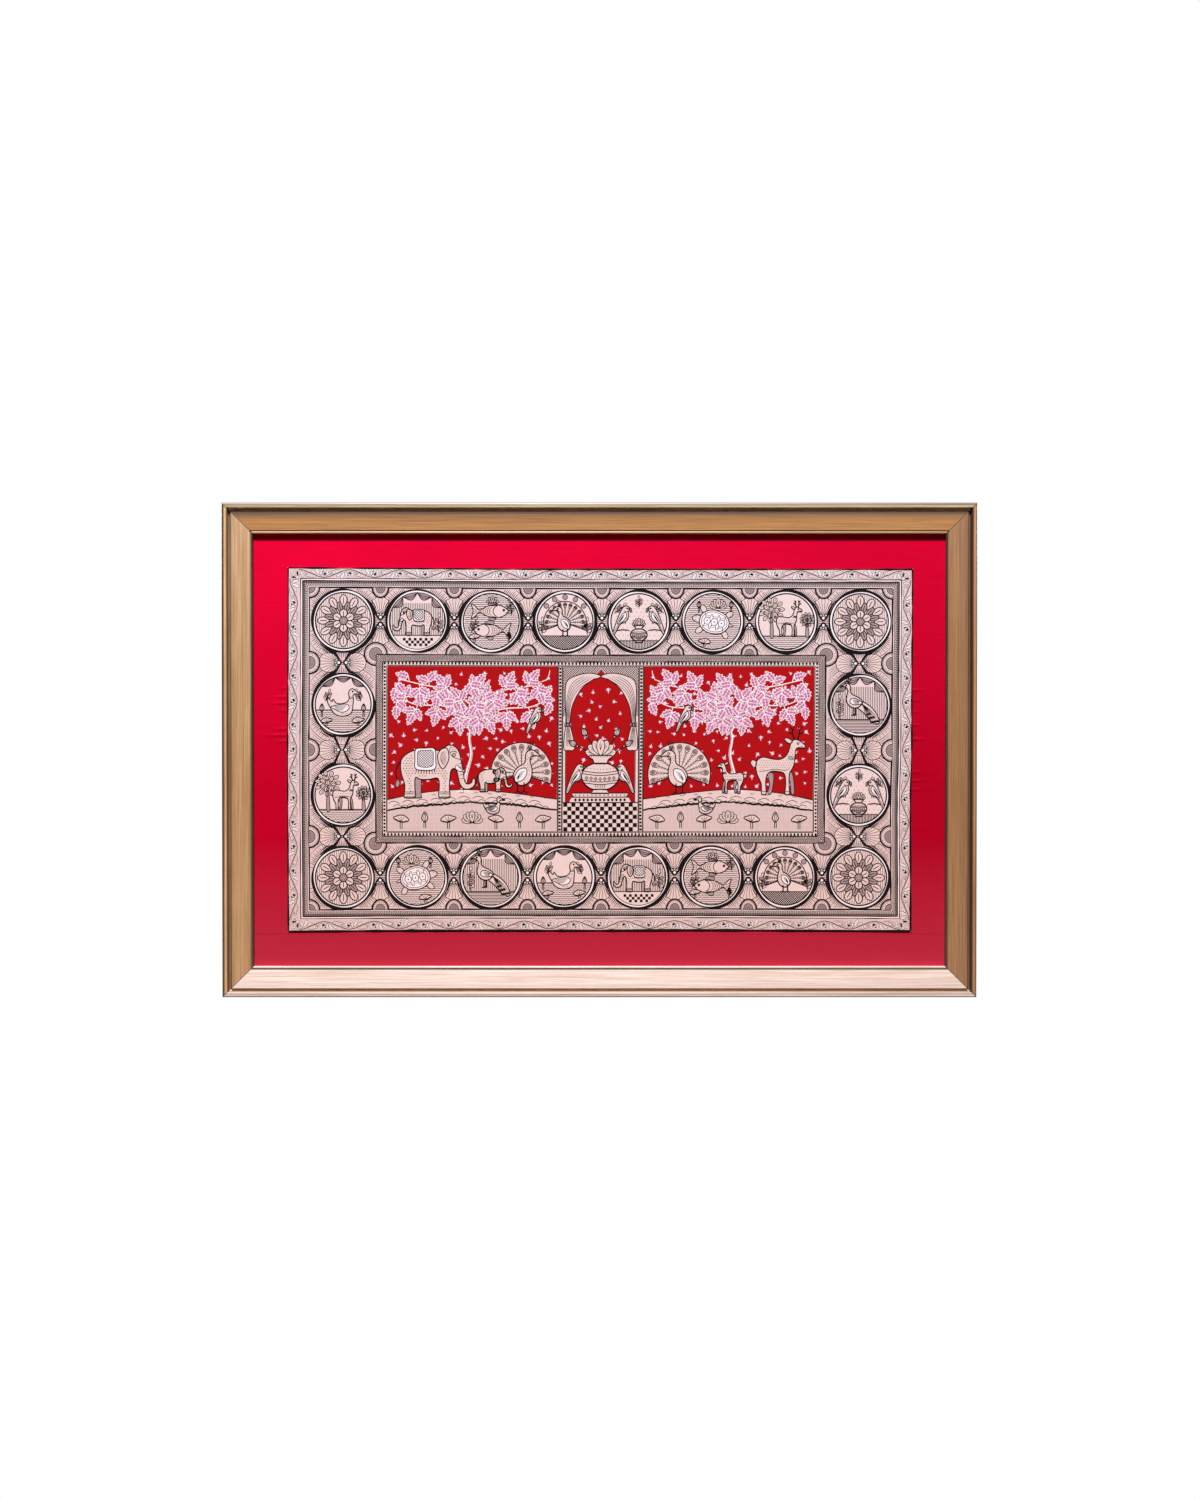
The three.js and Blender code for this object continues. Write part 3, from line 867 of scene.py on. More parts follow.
def repeating_tree(name, extra_inputs, points_of):
    """A tree that puts Motif on points, realises it and paints it. points_of adds the nodes that make the points."""
    tree = bpy.data.node_groups.new(name, "GeometryNodeTree")
    for label, kind in [("Geometry", "Geometry"), ("Motif", "Object"), ("Paint", "Material")] + extra_inputs:
        tree.interface.new_socket(label, in_out="INPUT", socket_type="NodeSocket" + kind)
    tree.interface.new_socket("Geometry", in_out="OUTPUT", socket_type="NodeSocketGeometry")
    given = add(tree, "NodeGroupInput").outputs
    points, rotation, scale = points_of(tree, given)
    motif = add(tree, "GeometryNodeObjectInfo", {"Object": given["Motif"]})
    copies = add(tree, "GeometryNodeInstanceOnPoints", {
        "Points": points, "Instance": motif.outputs["Geometry"], "Rotation": rotation, "Scale": scale})
    real = add(tree, "GeometryNodeRealizeInstances", {"Geometry": copies.outputs[0]})
    painted = add(tree, "GeometryNodeSetMaterial", {"Geometry": real.outputs[0], "Material": given["Paint"]})
    add(tree, "NodeGroupOutput", {"Geometry": painted.outputs[0]})
    return tree


def turned_about_y(tree, radians):
    """A rotation that turns a motif within the picture's plane."""
    back = add(tree, "ShaderNodeMath", {0: radians, 1: -1.0}, operation="MULTIPLY")
    return add(tree, "ShaderNodeCombineXYZ", {"Y": back.outputs[0]}).outputs[0]


def stamp_points(tree, given):
    turn = add(tree, "GeometryNodeInputNamedAttribute", {"Name": "turn"}, data_type="FLOAT")
    return given["Geometry"], turned_about_y(tree, turn.outputs[0]), FULL_SIZE


def row_points(tree, given):
    line = add(tree, "GeometryNodeMeshLine", {
        "Count": given["Count"], "Start Location": given["Start"], "Offset": given["End"]},
        mode="END_POINTS", count_mode="TOTAL")
    return line.outputs[0], turned_about_y(tree, given["Turn"]), FULL_SIZE


def strewn_points(tree, given):
    spread = add(tree, "GeometryNodeDistributePointsOnFaces", {
        "Mesh": given["Geometry"], "Distance Min": given["Spacing"], "Density Max": MOST_PER_SQUARE_METRE,
        "Seed": given["Seed"]}, distribute_method="POISSON")
    turn, size = (
        add(tree, "FunctionNodeRandomValue", {2: low, 3: high, "Seed": seed}, data_type="FLOAT")
        for low, high, seed in ((0.0, 6.28, 1), (0.75, 1.2, 2)))
    return spread.outputs["Points"], turned_about_y(tree, turn.outputs[1]), size.outputs[1]


STAMP = repeating_tree("Stamp at places", [], stamp_points)
row_inputs = [("Count", "Int"), ("Start", "Vector"), ("End", "Vector"), ("Turn", "Float")]
ROW = repeating_tree("Row of motifs", row_inputs, row_points)
STREW = repeating_tree("Strewn motifs", [("Spacing", "Float"), ("Seed", "Int")], strewn_points)
print("trees:", ", ".join(tree.name for tree in (STAMP, ROW, STREW)))

# %% [markdown]
# ## Paints
# The colours are ground minerals and soot bound with gum, so they dry matt and a little uneven, and the ink is
# slightly glossier. Each gets its own material. Soft noise in the colour gives the uneven wash, the pale ones
# take a painted warmer, dimmer light low on the cloth, and a bump at the spacing of the silk's threads lets the weave
# show.

# %% Colours, and the nodes that materials share
def linear(hex_code):
    """An sRGB hex colour as linear RGBA."""
    parts = [int(hex_code[i:i + 2], 16) / 255 for i in (0, 2, 4)]
    return (*[c / 12.92 if c <= 0.04045 else ((c + 0.055) / 1.055) ** 2.4 for c in parts], 1.0)


def new_material(name):
    """An empty material with its own coordinates in metres. Returns it, its tree, the coordinates and the shader."""
    made = bpy.data.materials.new(name)
    made.use_nodes = True
    tree = made.node_tree
    tree.nodes.clear()
    where = add(tree, "ShaderNodeTexCoord").outputs["Object"]
    shader = add(tree, "ShaderNodeBsdfPrincipled")
    add(tree, "ShaderNodeOutputMaterial", {"Surface": shader.outputs[0]})
    return made, tree, where, shader


def per_metre(millimetres):
    """The scale of a texture whose pattern repeats at that size."""
    return 1 / (millimetres * MM)


def noise(tree, where, size, detail, roughness=0.5):
    """Soft noise with patches of that size in mm."""
    inputs = {"Vector": where, "Scale": per_metre(size), "Detail": detail, "Roughness": roughness}
    return add(tree, "ShaderNodeTexNoise", inputs).outputs["Fac"]


def stretched(tree, where, scale):
    return add(tree, "ShaderNodeMapping", {"Vector": where, "Scale": scale}).outputs[0]


def calc(tree, operation, *values):
    return add(tree, "ShaderNodeMath", dict(enumerate(values)), operation=operation).outputs[0]


def ranged(tree, value, from_low, from_high, to_low=0.0, to_high=1.0):
    """A value carried from one range into another, and held inside it."""
    ends = {1: from_low, 2: from_high, 3: to_low, 4: to_high}
    return add(tree, "ShaderNodeMapRange", {0: value, **ends}).outputs[0]


def between(tree, where, axis, start, end, to_low=0.0, to_high=1.0):
    """A value that changes between two places on the X or Z axis, in mm from the picture's middle."""
    middle = {"X": middle_x, "Z": middle_z}[axis]
    place = add(tree, "ShaderNodeSeparateXYZ", {"Vector": where}).outputs[axis]
    return ranged(tree, place, middle + start * MM, middle + end * MM, to_low, to_high)


def blend(tree, share, first, second, **settings):
    """A mix of two colours."""
    mix = add(tree, "ShaderNodeMix", {"Factor": share, "A": first, "B": second}, data_type="RGBA", **settings)
    return mix.outputs["Result"]


def tinted(tree, colour, by):
    """A colour multiplied by another one."""
    return add(tree, "ShaderNodeVectorMath", {0: colour, 1: by}, operation="MULTIPLY").outputs[0]


def dimmed(tree, colour, by):
    """A colour multiplied by a number."""
    return add(tree, "ShaderNodeVectorMath", {0: colour, "Scale": by}, operation="SCALE").outputs[0]


def cover(tree, shader, colour, rough, height, strength, rise):
    """Gives a shader its colour, its roughness and a bump that rises by so many mm."""
    bump = add(tree, "ShaderNodeBump", {"Height": height, "Strength": strength, "Distance": rise * MM})
    for socket, value in (("Base Color", colour), ("Roughness", rough), ("Normal", bump.outputs[0])):
        tree.links.new(value, shader.inputs[socket])


print("material tools ready")

# %% The paints
PAINT_THREADS = 0.9
WAVES_PER_SCALE = 3.1
# Painted light: the colour is tinted warmer and a little dimmer low on the cloth, between these heights in mm.
TINT_HIGH_UP, PAINTED_WARM_LIGHT_LOW = (0.98, 0.985, 0.98, 1.0), (1.06, 0.955, 0.88, 1.0)
WARM_LIGHT_FROM, WARM_LIGHT_TO = 140, -220
PAINT_SHEEN = 0.1
ROUGHNESS_SPREAD = 0.08


def weave_height(tree, where, spacing, slub=0.0):
    """Crossing threads: two wave patterns over one another, with thicker slubs along the weft."""
    waves = {"Vector": where, "Scale": per_metre(spacing) / WAVES_PER_SCALE, "Distortion": 1.2, "Detail": 2.0,
             "Detail Scale": 2.0}
    both = calc(tree, "MAXIMUM", *[
        add(tree, "ShaderNodeTexWave", waves, bands_direction=direction).outputs["Fac"] for direction in "XZ"])
    if not slub:
        return both
    return calc(tree, "MULTIPLY_ADD", noise(tree, stretched(tree, where, (0.06, 1.0, 1.0)), 3.0, 3.0), slub, both)


def paint_material(name, light, dark, roughness, patch=9.0, bump=0.03, warm_light_low=True):
    """A gum-bound paint: a wash that varies between two colours over patches of that size in mm, with painted warmer
    light low down.
    """
    made, tree, where, shader = new_material(name)
    cloudy = noise(tree, where, patch, 4.0, 0.6)
    colour = blend(tree, cloudy, linear(dark), linear(light))
    if warm_light_low:
        # Painted warmer light, growing towards the bottom of the cloth.
        warm_light = blend(tree, between(tree, where, "Z", WARM_LIGHT_FROM, WARM_LIGHT_TO), TINT_HIGH_UP, PAINTED_WARM_LIGHT_LOW)
        colour = blend(tree, 1.0, colour, warm_light, blend_type="MULTIPLY")
    rough = ranged(tree, cloudy, 0.0, 1.0, roughness - ROUGHNESS_SPREAD, roughness + ROUGHNESS_SPREAD)
    cover(tree, shader, colour, rough, weave_height(tree, where, PAINT_THREADS), 0.5, bump)
    shader.inputs["Specular IOR Level"].default_value = PAINT_SHEEN
    return made


PAINTS = {
    "grey": paint_material("soot grey gum wash", "AA9594", "8B7776", 0.85),
    "red": paint_material("vermilion gum paint", "B2060C", "9C0509", 0.75, 30.0, warm_light_low=False),
    "pale": paint_material("thin shell white gum paint", "ECD6D3", "DCC3BF", 0.85),
    "cream": paint_material("ochre tinted shell white gum paint", "E9D1CC", "D8BDB7", 0.85),
    "wash": paint_material("thin soot gum wash", "B29B9A", "95807F", 0.85),
    "pink": paint_material("madder and shell white gum paint", "D891B6", "C4779E", 0.8, 14.0),
    "white": paint_material("thick shell white gum paint", "F8EFF0", "EBDEE0", 0.8),
    "plum": paint_material("madder gum paint", "98305F", "7C2049", 0.75, warm_light_low=False),
    "ink": paint_material("lamp black ink", "170C0B", "0B0505", 0.6, 5.0, warm_light_low=False),
}
print(len(PAINTS), "paints mixed")

# %% [markdown]
# ## Laying motifs down
# A motif is drawn once with the brush, then the node trees repeat it. The result goes back into plain arrays, so
# that every mark, drawn once or repeated, can be bent to the hand-cut cloth in the same way at the end.

# %% Stamp, row and strew
laid = defaultdict(list)
TO_METRES = np.array([MM, -MM, MM])


def lay(region, brush):
    """Keeps what a brush has drawn, as it is."""
    for paint, arrays in marks_to_arrays(brush.marks).items():
        laid[region, paint].append(arrays)


def grow(tree, base_mesh, region, brush, **values):
    """Repeats what a brush has drawn with a node tree, once for each of its paints."""
    base = linked("places", base_mesh)
    for paint, (points, faces) in marks_to_arrays(brush.marks).items():
        motif = linked("motif", mesh_from("motif", points * TO_METRES, faces))
        modifier = base.modifiers.new(tree.name, "NODES")
        modifier.node_group = tree
        values.update(Motif=motif, Paint=PAINTS[paint])
        for item in tree.interface.items_tree:
            if item.item_type == "SOCKET" and item.in_out == "INPUT" and item.name in values:
                modifier[item.identifier] = values[item.name]
        grown = bpy.data.meshes.new_from_object(base.evaluated_get(bpy.context.evaluated_depsgraph_get()))
        points, faces = arrays_of(grown)
        laid[region, paint].append((points / TO_METRES, faces))
        base.modifiers.remove(modifier)
        bpy.data.meshes.remove(grown)
        bpy.data.objects.remove(motif)
    bpy.data.objects.remove(base)


def stamp(region, brush, places, level=0):
    """Repeats a motif at each (u, v, turn in degrees)."""
    mesh = bpy.data.meshes.new("places")
    mesh.from_pydata([(u * MM, -level * LEVEL * MM, v * MM) for u, v, _ in places], [], [])
    turns = mesh.attributes.new("turn", "FLOAT", "POINT")
    turns.data.foreach_set("value", [math.radians(turn) for _, _, turn in places])
    grow(STAMP, mesh, region, brush)


def row(region, brush, start, end, pitch, level=0, ends=True):
    """Repeats a motif along a line, turned to follow it, at about that pitch."""
    start, end = np.array(start, float), np.array(end, float)
    length = np.linalg.norm(end - start)
    count = max(2, round(length / pitch) + 1)
    if not ends:
        inset_by = (end - start) / count / 2
        start, end = start + inset_by, end - inset_by
    places = [(p[0] * MM, -level * LEVEL * MM, p[1] * MM) for p in (start, end)]
    turn = math.atan2(end[1] - start[1], end[0] - start[0])
    grow(ROW, bpy.data.meshes.new("row"), region, brush, Count=count, Start=places[0], End=places[1], Turn=turn)


def drawn(motif, *args):
    """A brush with one motif drawn at the origin."""
    b = Brush()
    motif(b, *args)
    return b


print("stamping tools ready")

# %% [markdown]
# ## The layout
# The picture is a rectangle in rectangles: a vine along the cloth's edge, a plaited band, a field of round
# pictures linked by ornament, a rope band, and three panels in the middle. The order, the sizes and the colours
# follow the photo. What the round pictures and the panels show is a generic design of animals and plants.

# %% Boxes of the layout
FIELD_INSET = (31.7, 31.4, 29.6, 28.8)
BAND = (-328.0, -136.9, 331.4, 139.7)
PANEL_INSET = 18.0
RING_RADIUS = 46.0
COLUMN_GAP = 108.0
RING_COLUMNS = [-375.3 + COLUMN_GAP * i for i in range(8)]
RING_ROWS = (188.1, 66.0, -66.0, -186.5)


def inset(box, by):
    """A box made smaller, by one distance or by four: left, bottom, right, top."""
    by = np.broadcast_to(np.asarray(by, float), (4,))
    return (box[0] + by[0], box[1] + by[1], box[2] - by[2], box[3] - by[3])


def corners(box):
    left, bottom, right, top = box
    return [(left, bottom), (right, bottom), (right, top), (left, top)]


def sides(box):
    """The four sides of a box, anticlockwise from the bottom."""
    spots = corners(box)
    return list(zip(spots, spots[1:] + spots[:1]))


FIELD = inset(PICTURE, FIELD_INSET)
print("field", FIELD, "rope band", BAND)

# %% [markdown]
# ## Bands
# The painter rules the bands and fills them with short strokes. One stroke, one dot and one small triangle are
# drawn, and the row tree repeats them along each side.

# %% Ruled lines and stroke bands
STROKE_PITCH = 2.6
BEAD_PITCH = 5.2
RULED_STEP, FILLED_STEP = 18, 40


def ruled(b, box, width, paint="ink", wander=0.0, seed=1):
    """A line ruled round a box by hand, so that its width wanders a little."""
    rng = random.Random(seed)
    for start, end in sides(box):
        start, end = np.array(start, float), np.array(end, float)
        count = max(2, int(np.linalg.norm(end - start) / RULED_STEP))
        p = start + (end - start) * np.linspace(0, 1, count + 1)[:, None]
        widths = [max(0.3, width + rng.uniform(-1, 1) * wander) for _ in p]
        b.rule(p, widths, paint)


def filled_band(b, box, width, paint):
    """A flat colour between a box and the one inside it, mitred at the corners."""
    for (a, c), (inner_a, inner_c) in zip(sides(box), sides(inset(box, width))):
        ends = [np.array(p, float) for p in (a, c, inner_c, inner_a)]
        count = max(1, int(np.linalg.norm(ends[1] - ends[0]) / FILLED_STEP))
        share = np.linspace(0, 1, count + 1)[:, None]
        outer, inner = ends[0] + (ends[1] - ends[0]) * share, ends[3] + (ends[2] - ends[3]) * share
        b.plate(np.vstack([outer, inner[::-1]]), paint, smooth=False)


def stroke(lean, tall, width):
    """A brush with one slanting stroke."""
    b = Brush()
    b.rule([(-lean / 2, -tall / 2), (lean / 2, tall / 2)], width)
    return b


def strokes_round(region, box, lean, tall, width):
    for start, end in sides(box):
        row(region, stroke(lean, tall, width), start, end, STROKE_PITCH, ends=False)


b = Brush()
ruled(b, inset(PICTURE, 0.7), 1.5, wander=0.7, seed=3)
ruled(b, inset(FIELD, -12.8), 0.8, wander=0.4, seed=4)
ruled(b, inset(FIELD, -11.2), 1.6, "white", seed=4)
filled_band(b, inset(FIELD, -10.2), 3.6, "grey")
ruled(b, inset(FIELD, -9.7), 1.1, wander=0.3, seed=5)
ruled(b, inset(FIELD, -6.7), 0.5, seed=6)
ruled(b, inset(FIELD, -1.4), 0.7, "white", seed=6)
ruled(b, FIELD, 1.6, wander=0.4, seed=7)
for offset, lean in ((-8.2, 1.8), (-5.2, -1.8), (-3.0, 1.8)):
    strokes_round("border", inset(FIELD, offset), lean, 1.9, 0.7)

filled_band(b, BAND, PANEL_INSET, "cream")
filled_band(b, inset(BAND, 1.4), 8.2, "grey")
ruled(b, inset(BAND, 0.8), 1.4, wander=0.4, seed=8)
for offset, tall in ((3.0, 2.0), (5.6, 2.8), (8.2, 2.0)):
    strokes_round("band", inset(BAND, offset), tall, tall, 0.82)
ruled(b, inset(BAND, 10.4), 1.1, wander=0.3, seed=9)
ruled(b, inset(BAND, 16.4), 0.8, seed=10)
ruled(b, inset(BAND, PANEL_INSET), 0.9, seed=11)
lay("band", b)

bead, tooth = Brush(), Brush()
bead.dot((0, 0), 1.75)
tooth.plate([(-1.7, -2), (1.7, -2), (1.1, 1.2), (0, 2.2), (-1.1, 1.2)], "ink", smooth=False)
for i, (start, end) in enumerate(sides(inset(BAND, 13.4))):
    row("band", bead if i % 2 else tooth, start, end, BEAD_PITCH)
print("bands:", sum(len(faces) for parts in laid.values() for _, faces in parts), "triangles")

# %% [markdown]
# ## The vine
# A stem swings from side to side along the cloth's edge. A curled shoot with a dotted rim fills one half of each
# hollow and a fan of pointed leaves the other. One full wave is drawn and stamped along all four sides, with a
# palmette in each corner where two sides meet.

# %% Vine and rosettes
VINE_MIDDLE = 8.6
VINE_WAVE, VINE_WIDTH = 72, 14.4
CORNER_SIZE = 8.0
ROSETTE_DOTS_APART = 17
RIBBED_LEAF_LINE = 0.24


def ribbed_leaf(b, length, width):
    """A pointed leaf with a midrib and two pairs of slanting ribs, its foot at the origin."""
    b.shape(petal(length, width), "pale", RIBBED_LEAF_LINE)
    b.rule([(0, 1), (0, length * 0.85)], RIBBED_LEAF_LINE)
    for share in (0.25, 0.53):
        y = length * share
        for side in (-1, 1):
            b.rule([(0, y), (side * width * 0.3, y + length * 0.17)], RIBBED_LEAF_LINE * 0.8)


# Each leaf of the vine: its place as shares of half a wave and half the width, its turn, and its length in mm.
VINE_LEAVES = ((0.12, -0.5, 62, 8.5), (0.15, -0.42, 20, 10.5), (0.2, -0.3, -24, 11.5), (0.3, -0.1, -58, 9.5),
               (0.88, 0.5, 178, 9.0), (0.9, 0.5, -140, 9.5), (0.8, 0.35, 128, 6.5))


def vine(b, length, width):
    """One wave of the vine, from one swing of its stem to the next."""
    half, w = length / 2, width / 2
    for start, flip in ((0, False), (half, True)):
        v = b.moved((start, 0), flip=flip, turn=180 if flip else 0)
        stem = [(0, -0.8), (0.22, -0.6), (0.5, 0), (0.78, 0.6), (1, 0.8)]
        v.line([(half * x, w * y) for x, y in stem], 0.7, taper=False)
        heart = np.array([half * 0.62, -w * 0.32])
        turns = np.radians(np.linspace(-20, 430, 20))
        v.disc(heart, w * 0.5, "pale")
        coil = heart + np.linspace(w * 0.56, 0.8, 20)[:, None] * np.column_stack([np.cos(turns), np.sin(turns)])
        v.line(np.vstack([[(half * 0.3, -w * 0.5), (half * 0.44, -w * 0.86)], coil]), [0.4, 0.35, 0.25])
        for i in range(10):
            a = math.radians(-160 + 24 * i)
            v.dot(heart + (w * 0.84 * math.cos(a), w * 0.66 * math.sin(a)), 0.45, sides=5)
        for x, y, turn, size in VINE_LEAVES:
            leaf = v.moved((half * x, w * y), turn=turn)
            leaf.plate(petal(size, size * 0.36), "white")
            leaf.line(petal(size, size * 0.36), 0.34, closed=True)
            leaf.line([(0, size * 0.3), (0, size * 0.8)], 0.25)


def palmette(b):
    """Five leaves that fan out into the corner below and to the left."""
    for turn, size in ((82, 11), (188, 11), (108, 13), (162, 13), (135, 15)):
        ribbed_leaf(b.moved((6, 6), turn=turn, lift=1 if size < 15 else 2), size, size * 0.4)
    heart = b.moved((5.6, 5.6), lift=3)
    heart.disc((0, 0), 2.4, "pale")
    heart.ring((0, 0), 2.4, 0.25)


def rosette(b, wide, tall, first, last):
    """A round flower cut off by the border: rings, a ring of dots and a grey heart."""
    def rim(share):
        return arc((0, 0), wide * share, first, last, tall / wide)

    for share, paint in ((1, "cream"), (0.56, "wash")):
        b.plate(np.vstack([rim(share), [(0, 0)]]), paint, smooth=False)
    for share, width in ((1, 1.6), (0.86, 0.4), (0.57, 0.7), (0.3, 0.3), (0.16, 0.5)):
        b.rule(rim(share), width)
    count = int((last - first) / ROSETTE_DOTS_APART)
    for i in range(count):
        a = math.radians(first + (last - first) * (i + 0.5) / count)
        out = np.array([math.cos(a) * wide, math.sin(a) * tall])
        b.dot(out * 0.72, 0.6, sides=5)
        b.rule([out * 0.35, out * 0.5], 0.28)


for start, end in sides(inset(PICTURE, VINE_MIDDLE)):
    start, end = np.array(start), np.array(end)
    along = (end - start) / np.linalg.norm(end - start)
    run = np.linalg.norm(end - start) - 2 * CORNER_SIZE
    count = round(run / VINE_WAVE)
    turn = math.degrees(math.atan2(along[1], along[0]))
    places = [(*(start + along * (CORNER_SIZE + run * k / count)), turn) for k in range(count)]
    stamp("border", drawn(vine, run / count, VINE_WIDTH), places)
stamp("border", drawn(palmette), [(u, v, 90 * i) for i, (u, v) in enumerate(corners(inset(PICTURE, VINE_MIDDLE)))])
print("vine laid")

# %% [markdown]
# ## Feathering round the rings
# Short pen strokes stand out from every ring, and echo lines follow it further out. Each stroke is kept only
# where the field is free: inside the border, outside the rope band and clear of the other rings.

# %% Feathering
FEATHERS = 120
ECHO_LINES = ((58.5, 0.55), (61.5, 0.45), (64.5, 0.4), (67.5, 0.35))
ring_places = [(u, v) for v in RING_ROWS for u in RING_COLUMNS
               if v in (RING_ROWS[0], RING_ROWS[-1]) or u in (RING_COLUMNS[0], RING_COLUMNS[-1])]


def free_field(points, ring, clear):
    """Which points lie in the field, clear of the bands and of every other ring."""
    u, v = points.T
    free = (u > FIELD[0] + 1) & (u < FIELD[2] - 1) & (v > FIELD[1] + 1) & (v < FIELD[3] - 1)
    free &= (u < BAND[0] - 1) | (u > BAND[2] + 1) | (v < BAND[1] - 1) | (v > BAND[3] + 1)
    for other in ring_places:
        if other != ring:
            free &= np.hypot(u - other[0], v - other[1]) > clear
    return free


b = Brush()
for ring in ring_places:
    for i in range(FEATHERS):
        a = math.radians(i * 360 / FEATHERS)
        out = np.array([math.cos(a), math.sin(a)])
        for reach in (9.5, 5.5) if i % 2 else (6.5, 4.5):
            p = np.array([ring + out * (RING_RADIUS + 1), ring + out * (RING_RADIUS + 1 + reach)])
            if free_field(p, ring, RING_RADIUS + 2).all():
                b.rule(p, [0.75, 0.3])
                break
    for far, width in ECHO_LINES:
        around = ring + arc((0, 0), far, 0, 360)
        for run in runs(around, free_field(around, ring, far - 3)):
            if len(run) > 3:
                b.line(run, width, smooth=False)
lay("feathering", b)
print(len(b.marks), "strokes of feathering")

# %% [markdown]
# ## Links between the rings
# Between two rings the painter draws black crescents that hug the rings and meet, a ribbed shell above and below
# with small beads at its foot, and half a rosette against each border. The rows and the two columns have slightly
# different gaps, so the link is drawn for each gap and stamped.

# %% Link ornament
SHELL_RIBS = 13
CORNER_ROOM = 20


def shell(b, foot, reach, gap):
    """A round ribbed shell between two rings, opening upwards from its foot."""
    radius = (reach + 4 - foot) / 2
    rim = []
    for i in range(SHELL_RIBS + 1):
        a = math.radians(-78 + 156 * i / SHELL_RIBS)
        ray = np.arange(1, 2 * radius, 0.3)[:, None] * (math.sin(a), math.cos(a)) + (0, foot)
        clear = np.hypot(gap / 2 - np.abs(ray[:, 0]), ray[:, 1]) > RING_RADIUS + 3
        free = clear & (np.hypot(ray[:, 0], (ray[:, 1] - foot - radius)) < radius)
        rim.append(ray[free][-1] if free.any() else ray[0])
    rim = np.array(rim)
    b.plate(np.vstack([[(0, foot)], rim]), "cream")
    for p, q in zip(rim, rim[1:]):
        out = (p + q) / 2 - (0, foot + radius)
        b.line([p, (p + q) / 2 + 1.5 * out / np.linalg.norm(out), q], 0.6, taper=False)
    for p in rim[1:-1]:
        b.line([(0.12 * p[0], foot + 2), (0, foot) + 0.93 * (p - (0, foot))], 0.45, taper=False)
        b.dot((0, foot) + 0.7 * (p - (0, foot)), 0.5, sides=5)


def link(b, gap, reach, tall):
    """All that lies between two neighbouring rings, apart from the rosettes."""
    angles = np.radians(np.linspace(42, 13, 8))
    hug = RING_RADIUS + np.linspace(0.6, 2.4, 8)
    crescent = np.column_stack([gap / 2 - hug * np.cos(angles), hug * np.sin(angles)])
    for turn in (0, 180):
        half = b.moved(turn=turn, lift=1)
        shell(half, 7, reach - tall - 3, gap)
        top = half.moved(lift=1)
        bow = np.vstack([crescent, [(2.4, 3.4), (0, 1.7), (-2.4, 3.4)], crescent[::-1] * (-1, 1)])
        top.line(bow, [0.7, 1.9, 2.6, 2.3, 1.5, 2.3, 2.6, 1.9, 0.7], taper=False)
        echo = np.column_stack([gap / 2 - (hug + 3.4) * np.cos(angles), (hug + 3.4) * np.sin(angles)])
        for side in (-1, 1):
            top.dot(crescent[0] * (side, 1), 1.2)
            top.line(echo[1:6] * (side, 1), [0.3, 0.9, 0.3])
        for x, y, radius in ((0, 5.4, 2.4), (3.6, 9.0, 1.5), (-3.6, 9.0, 1.5), (0, 9.8, 1.4)):
            bead_brush = top.moved(lift=1)
            bead_brush.disc((x, y), radius, "white")
            bead_brush.ring((x, y), radius, 0.6)


half_rosettes, column_rosettes, row_links = [], [], []
for low, high in ((BAND[3], FIELD[3]), (FIELD[1], BAND[1])):
    for left_ring, right_ring in zip(RING_COLUMNS, RING_COLUMNS[1:]):
        u = (left_ring + right_ring) / 2
        row_links.append((u, (low + high) / 2, 0))
        for v, turn in ((low, 0), (high, 180)):
            by_corner = v in (BAND[1], BAND[3]) and not BAND[0] + CORNER_ROOM < u < BAND[2] - CORNER_ROOM
            if not by_corner:
                half_rosettes.append((u, v, turn))
row_reach = (FIELD[3] - BAND[3]) / 2
stamp("links", drawn(link, COLUMN_GAP, row_reach, 14.5), row_links)
stamp("links", drawn(rosette, 12.0, 14.5, 0, 180), half_rosettes, 2)

for low, high in ((FIELD[0], BAND[0]), (BAND[2], FIELD[2])):
    reach = (high - low) / 2
    for upper, lower in zip(RING_ROWS, RING_ROWS[1:]):
        v = (upper + lower) / 2
        stamp("links", drawn(link, upper - lower, reach, 15.5), [((low + high) / 2, v, 90)])
        for u, turn in ((low, -90), (high, 90)):
            if abs(v) < CORNER_ROOM or u in (FIELD[0], FIELD[2]):
                column_rosettes.append((u, v, turn))
stamp("links", drawn(rosette, 16.0, 15.5, 0, 180), column_rosettes, 2)
for box, wide, first, last in ((FIELD, 15.0, 0, 90), (BAND, 16.5, 90, 360)):
    places = [(u, v, 90 * i) for i, (u, v) in enumerate(corners(box))]
    stamp("links", drawn(rosette, wide, wide, first, last), places, 2)
print(len(row_links), "links in rows,", len(half_rosettes) + len(column_rosettes), "half rosettes")

# %% [markdown]
# ## Rings
# Each ring is a thick black line of uneven width, a white ring and a thin black line round a pale ground. Four
# versions, stamped at different turns, are enough for twenty rings to look drawn one by one.

# %% Ring frames
RING_POINTS = 60


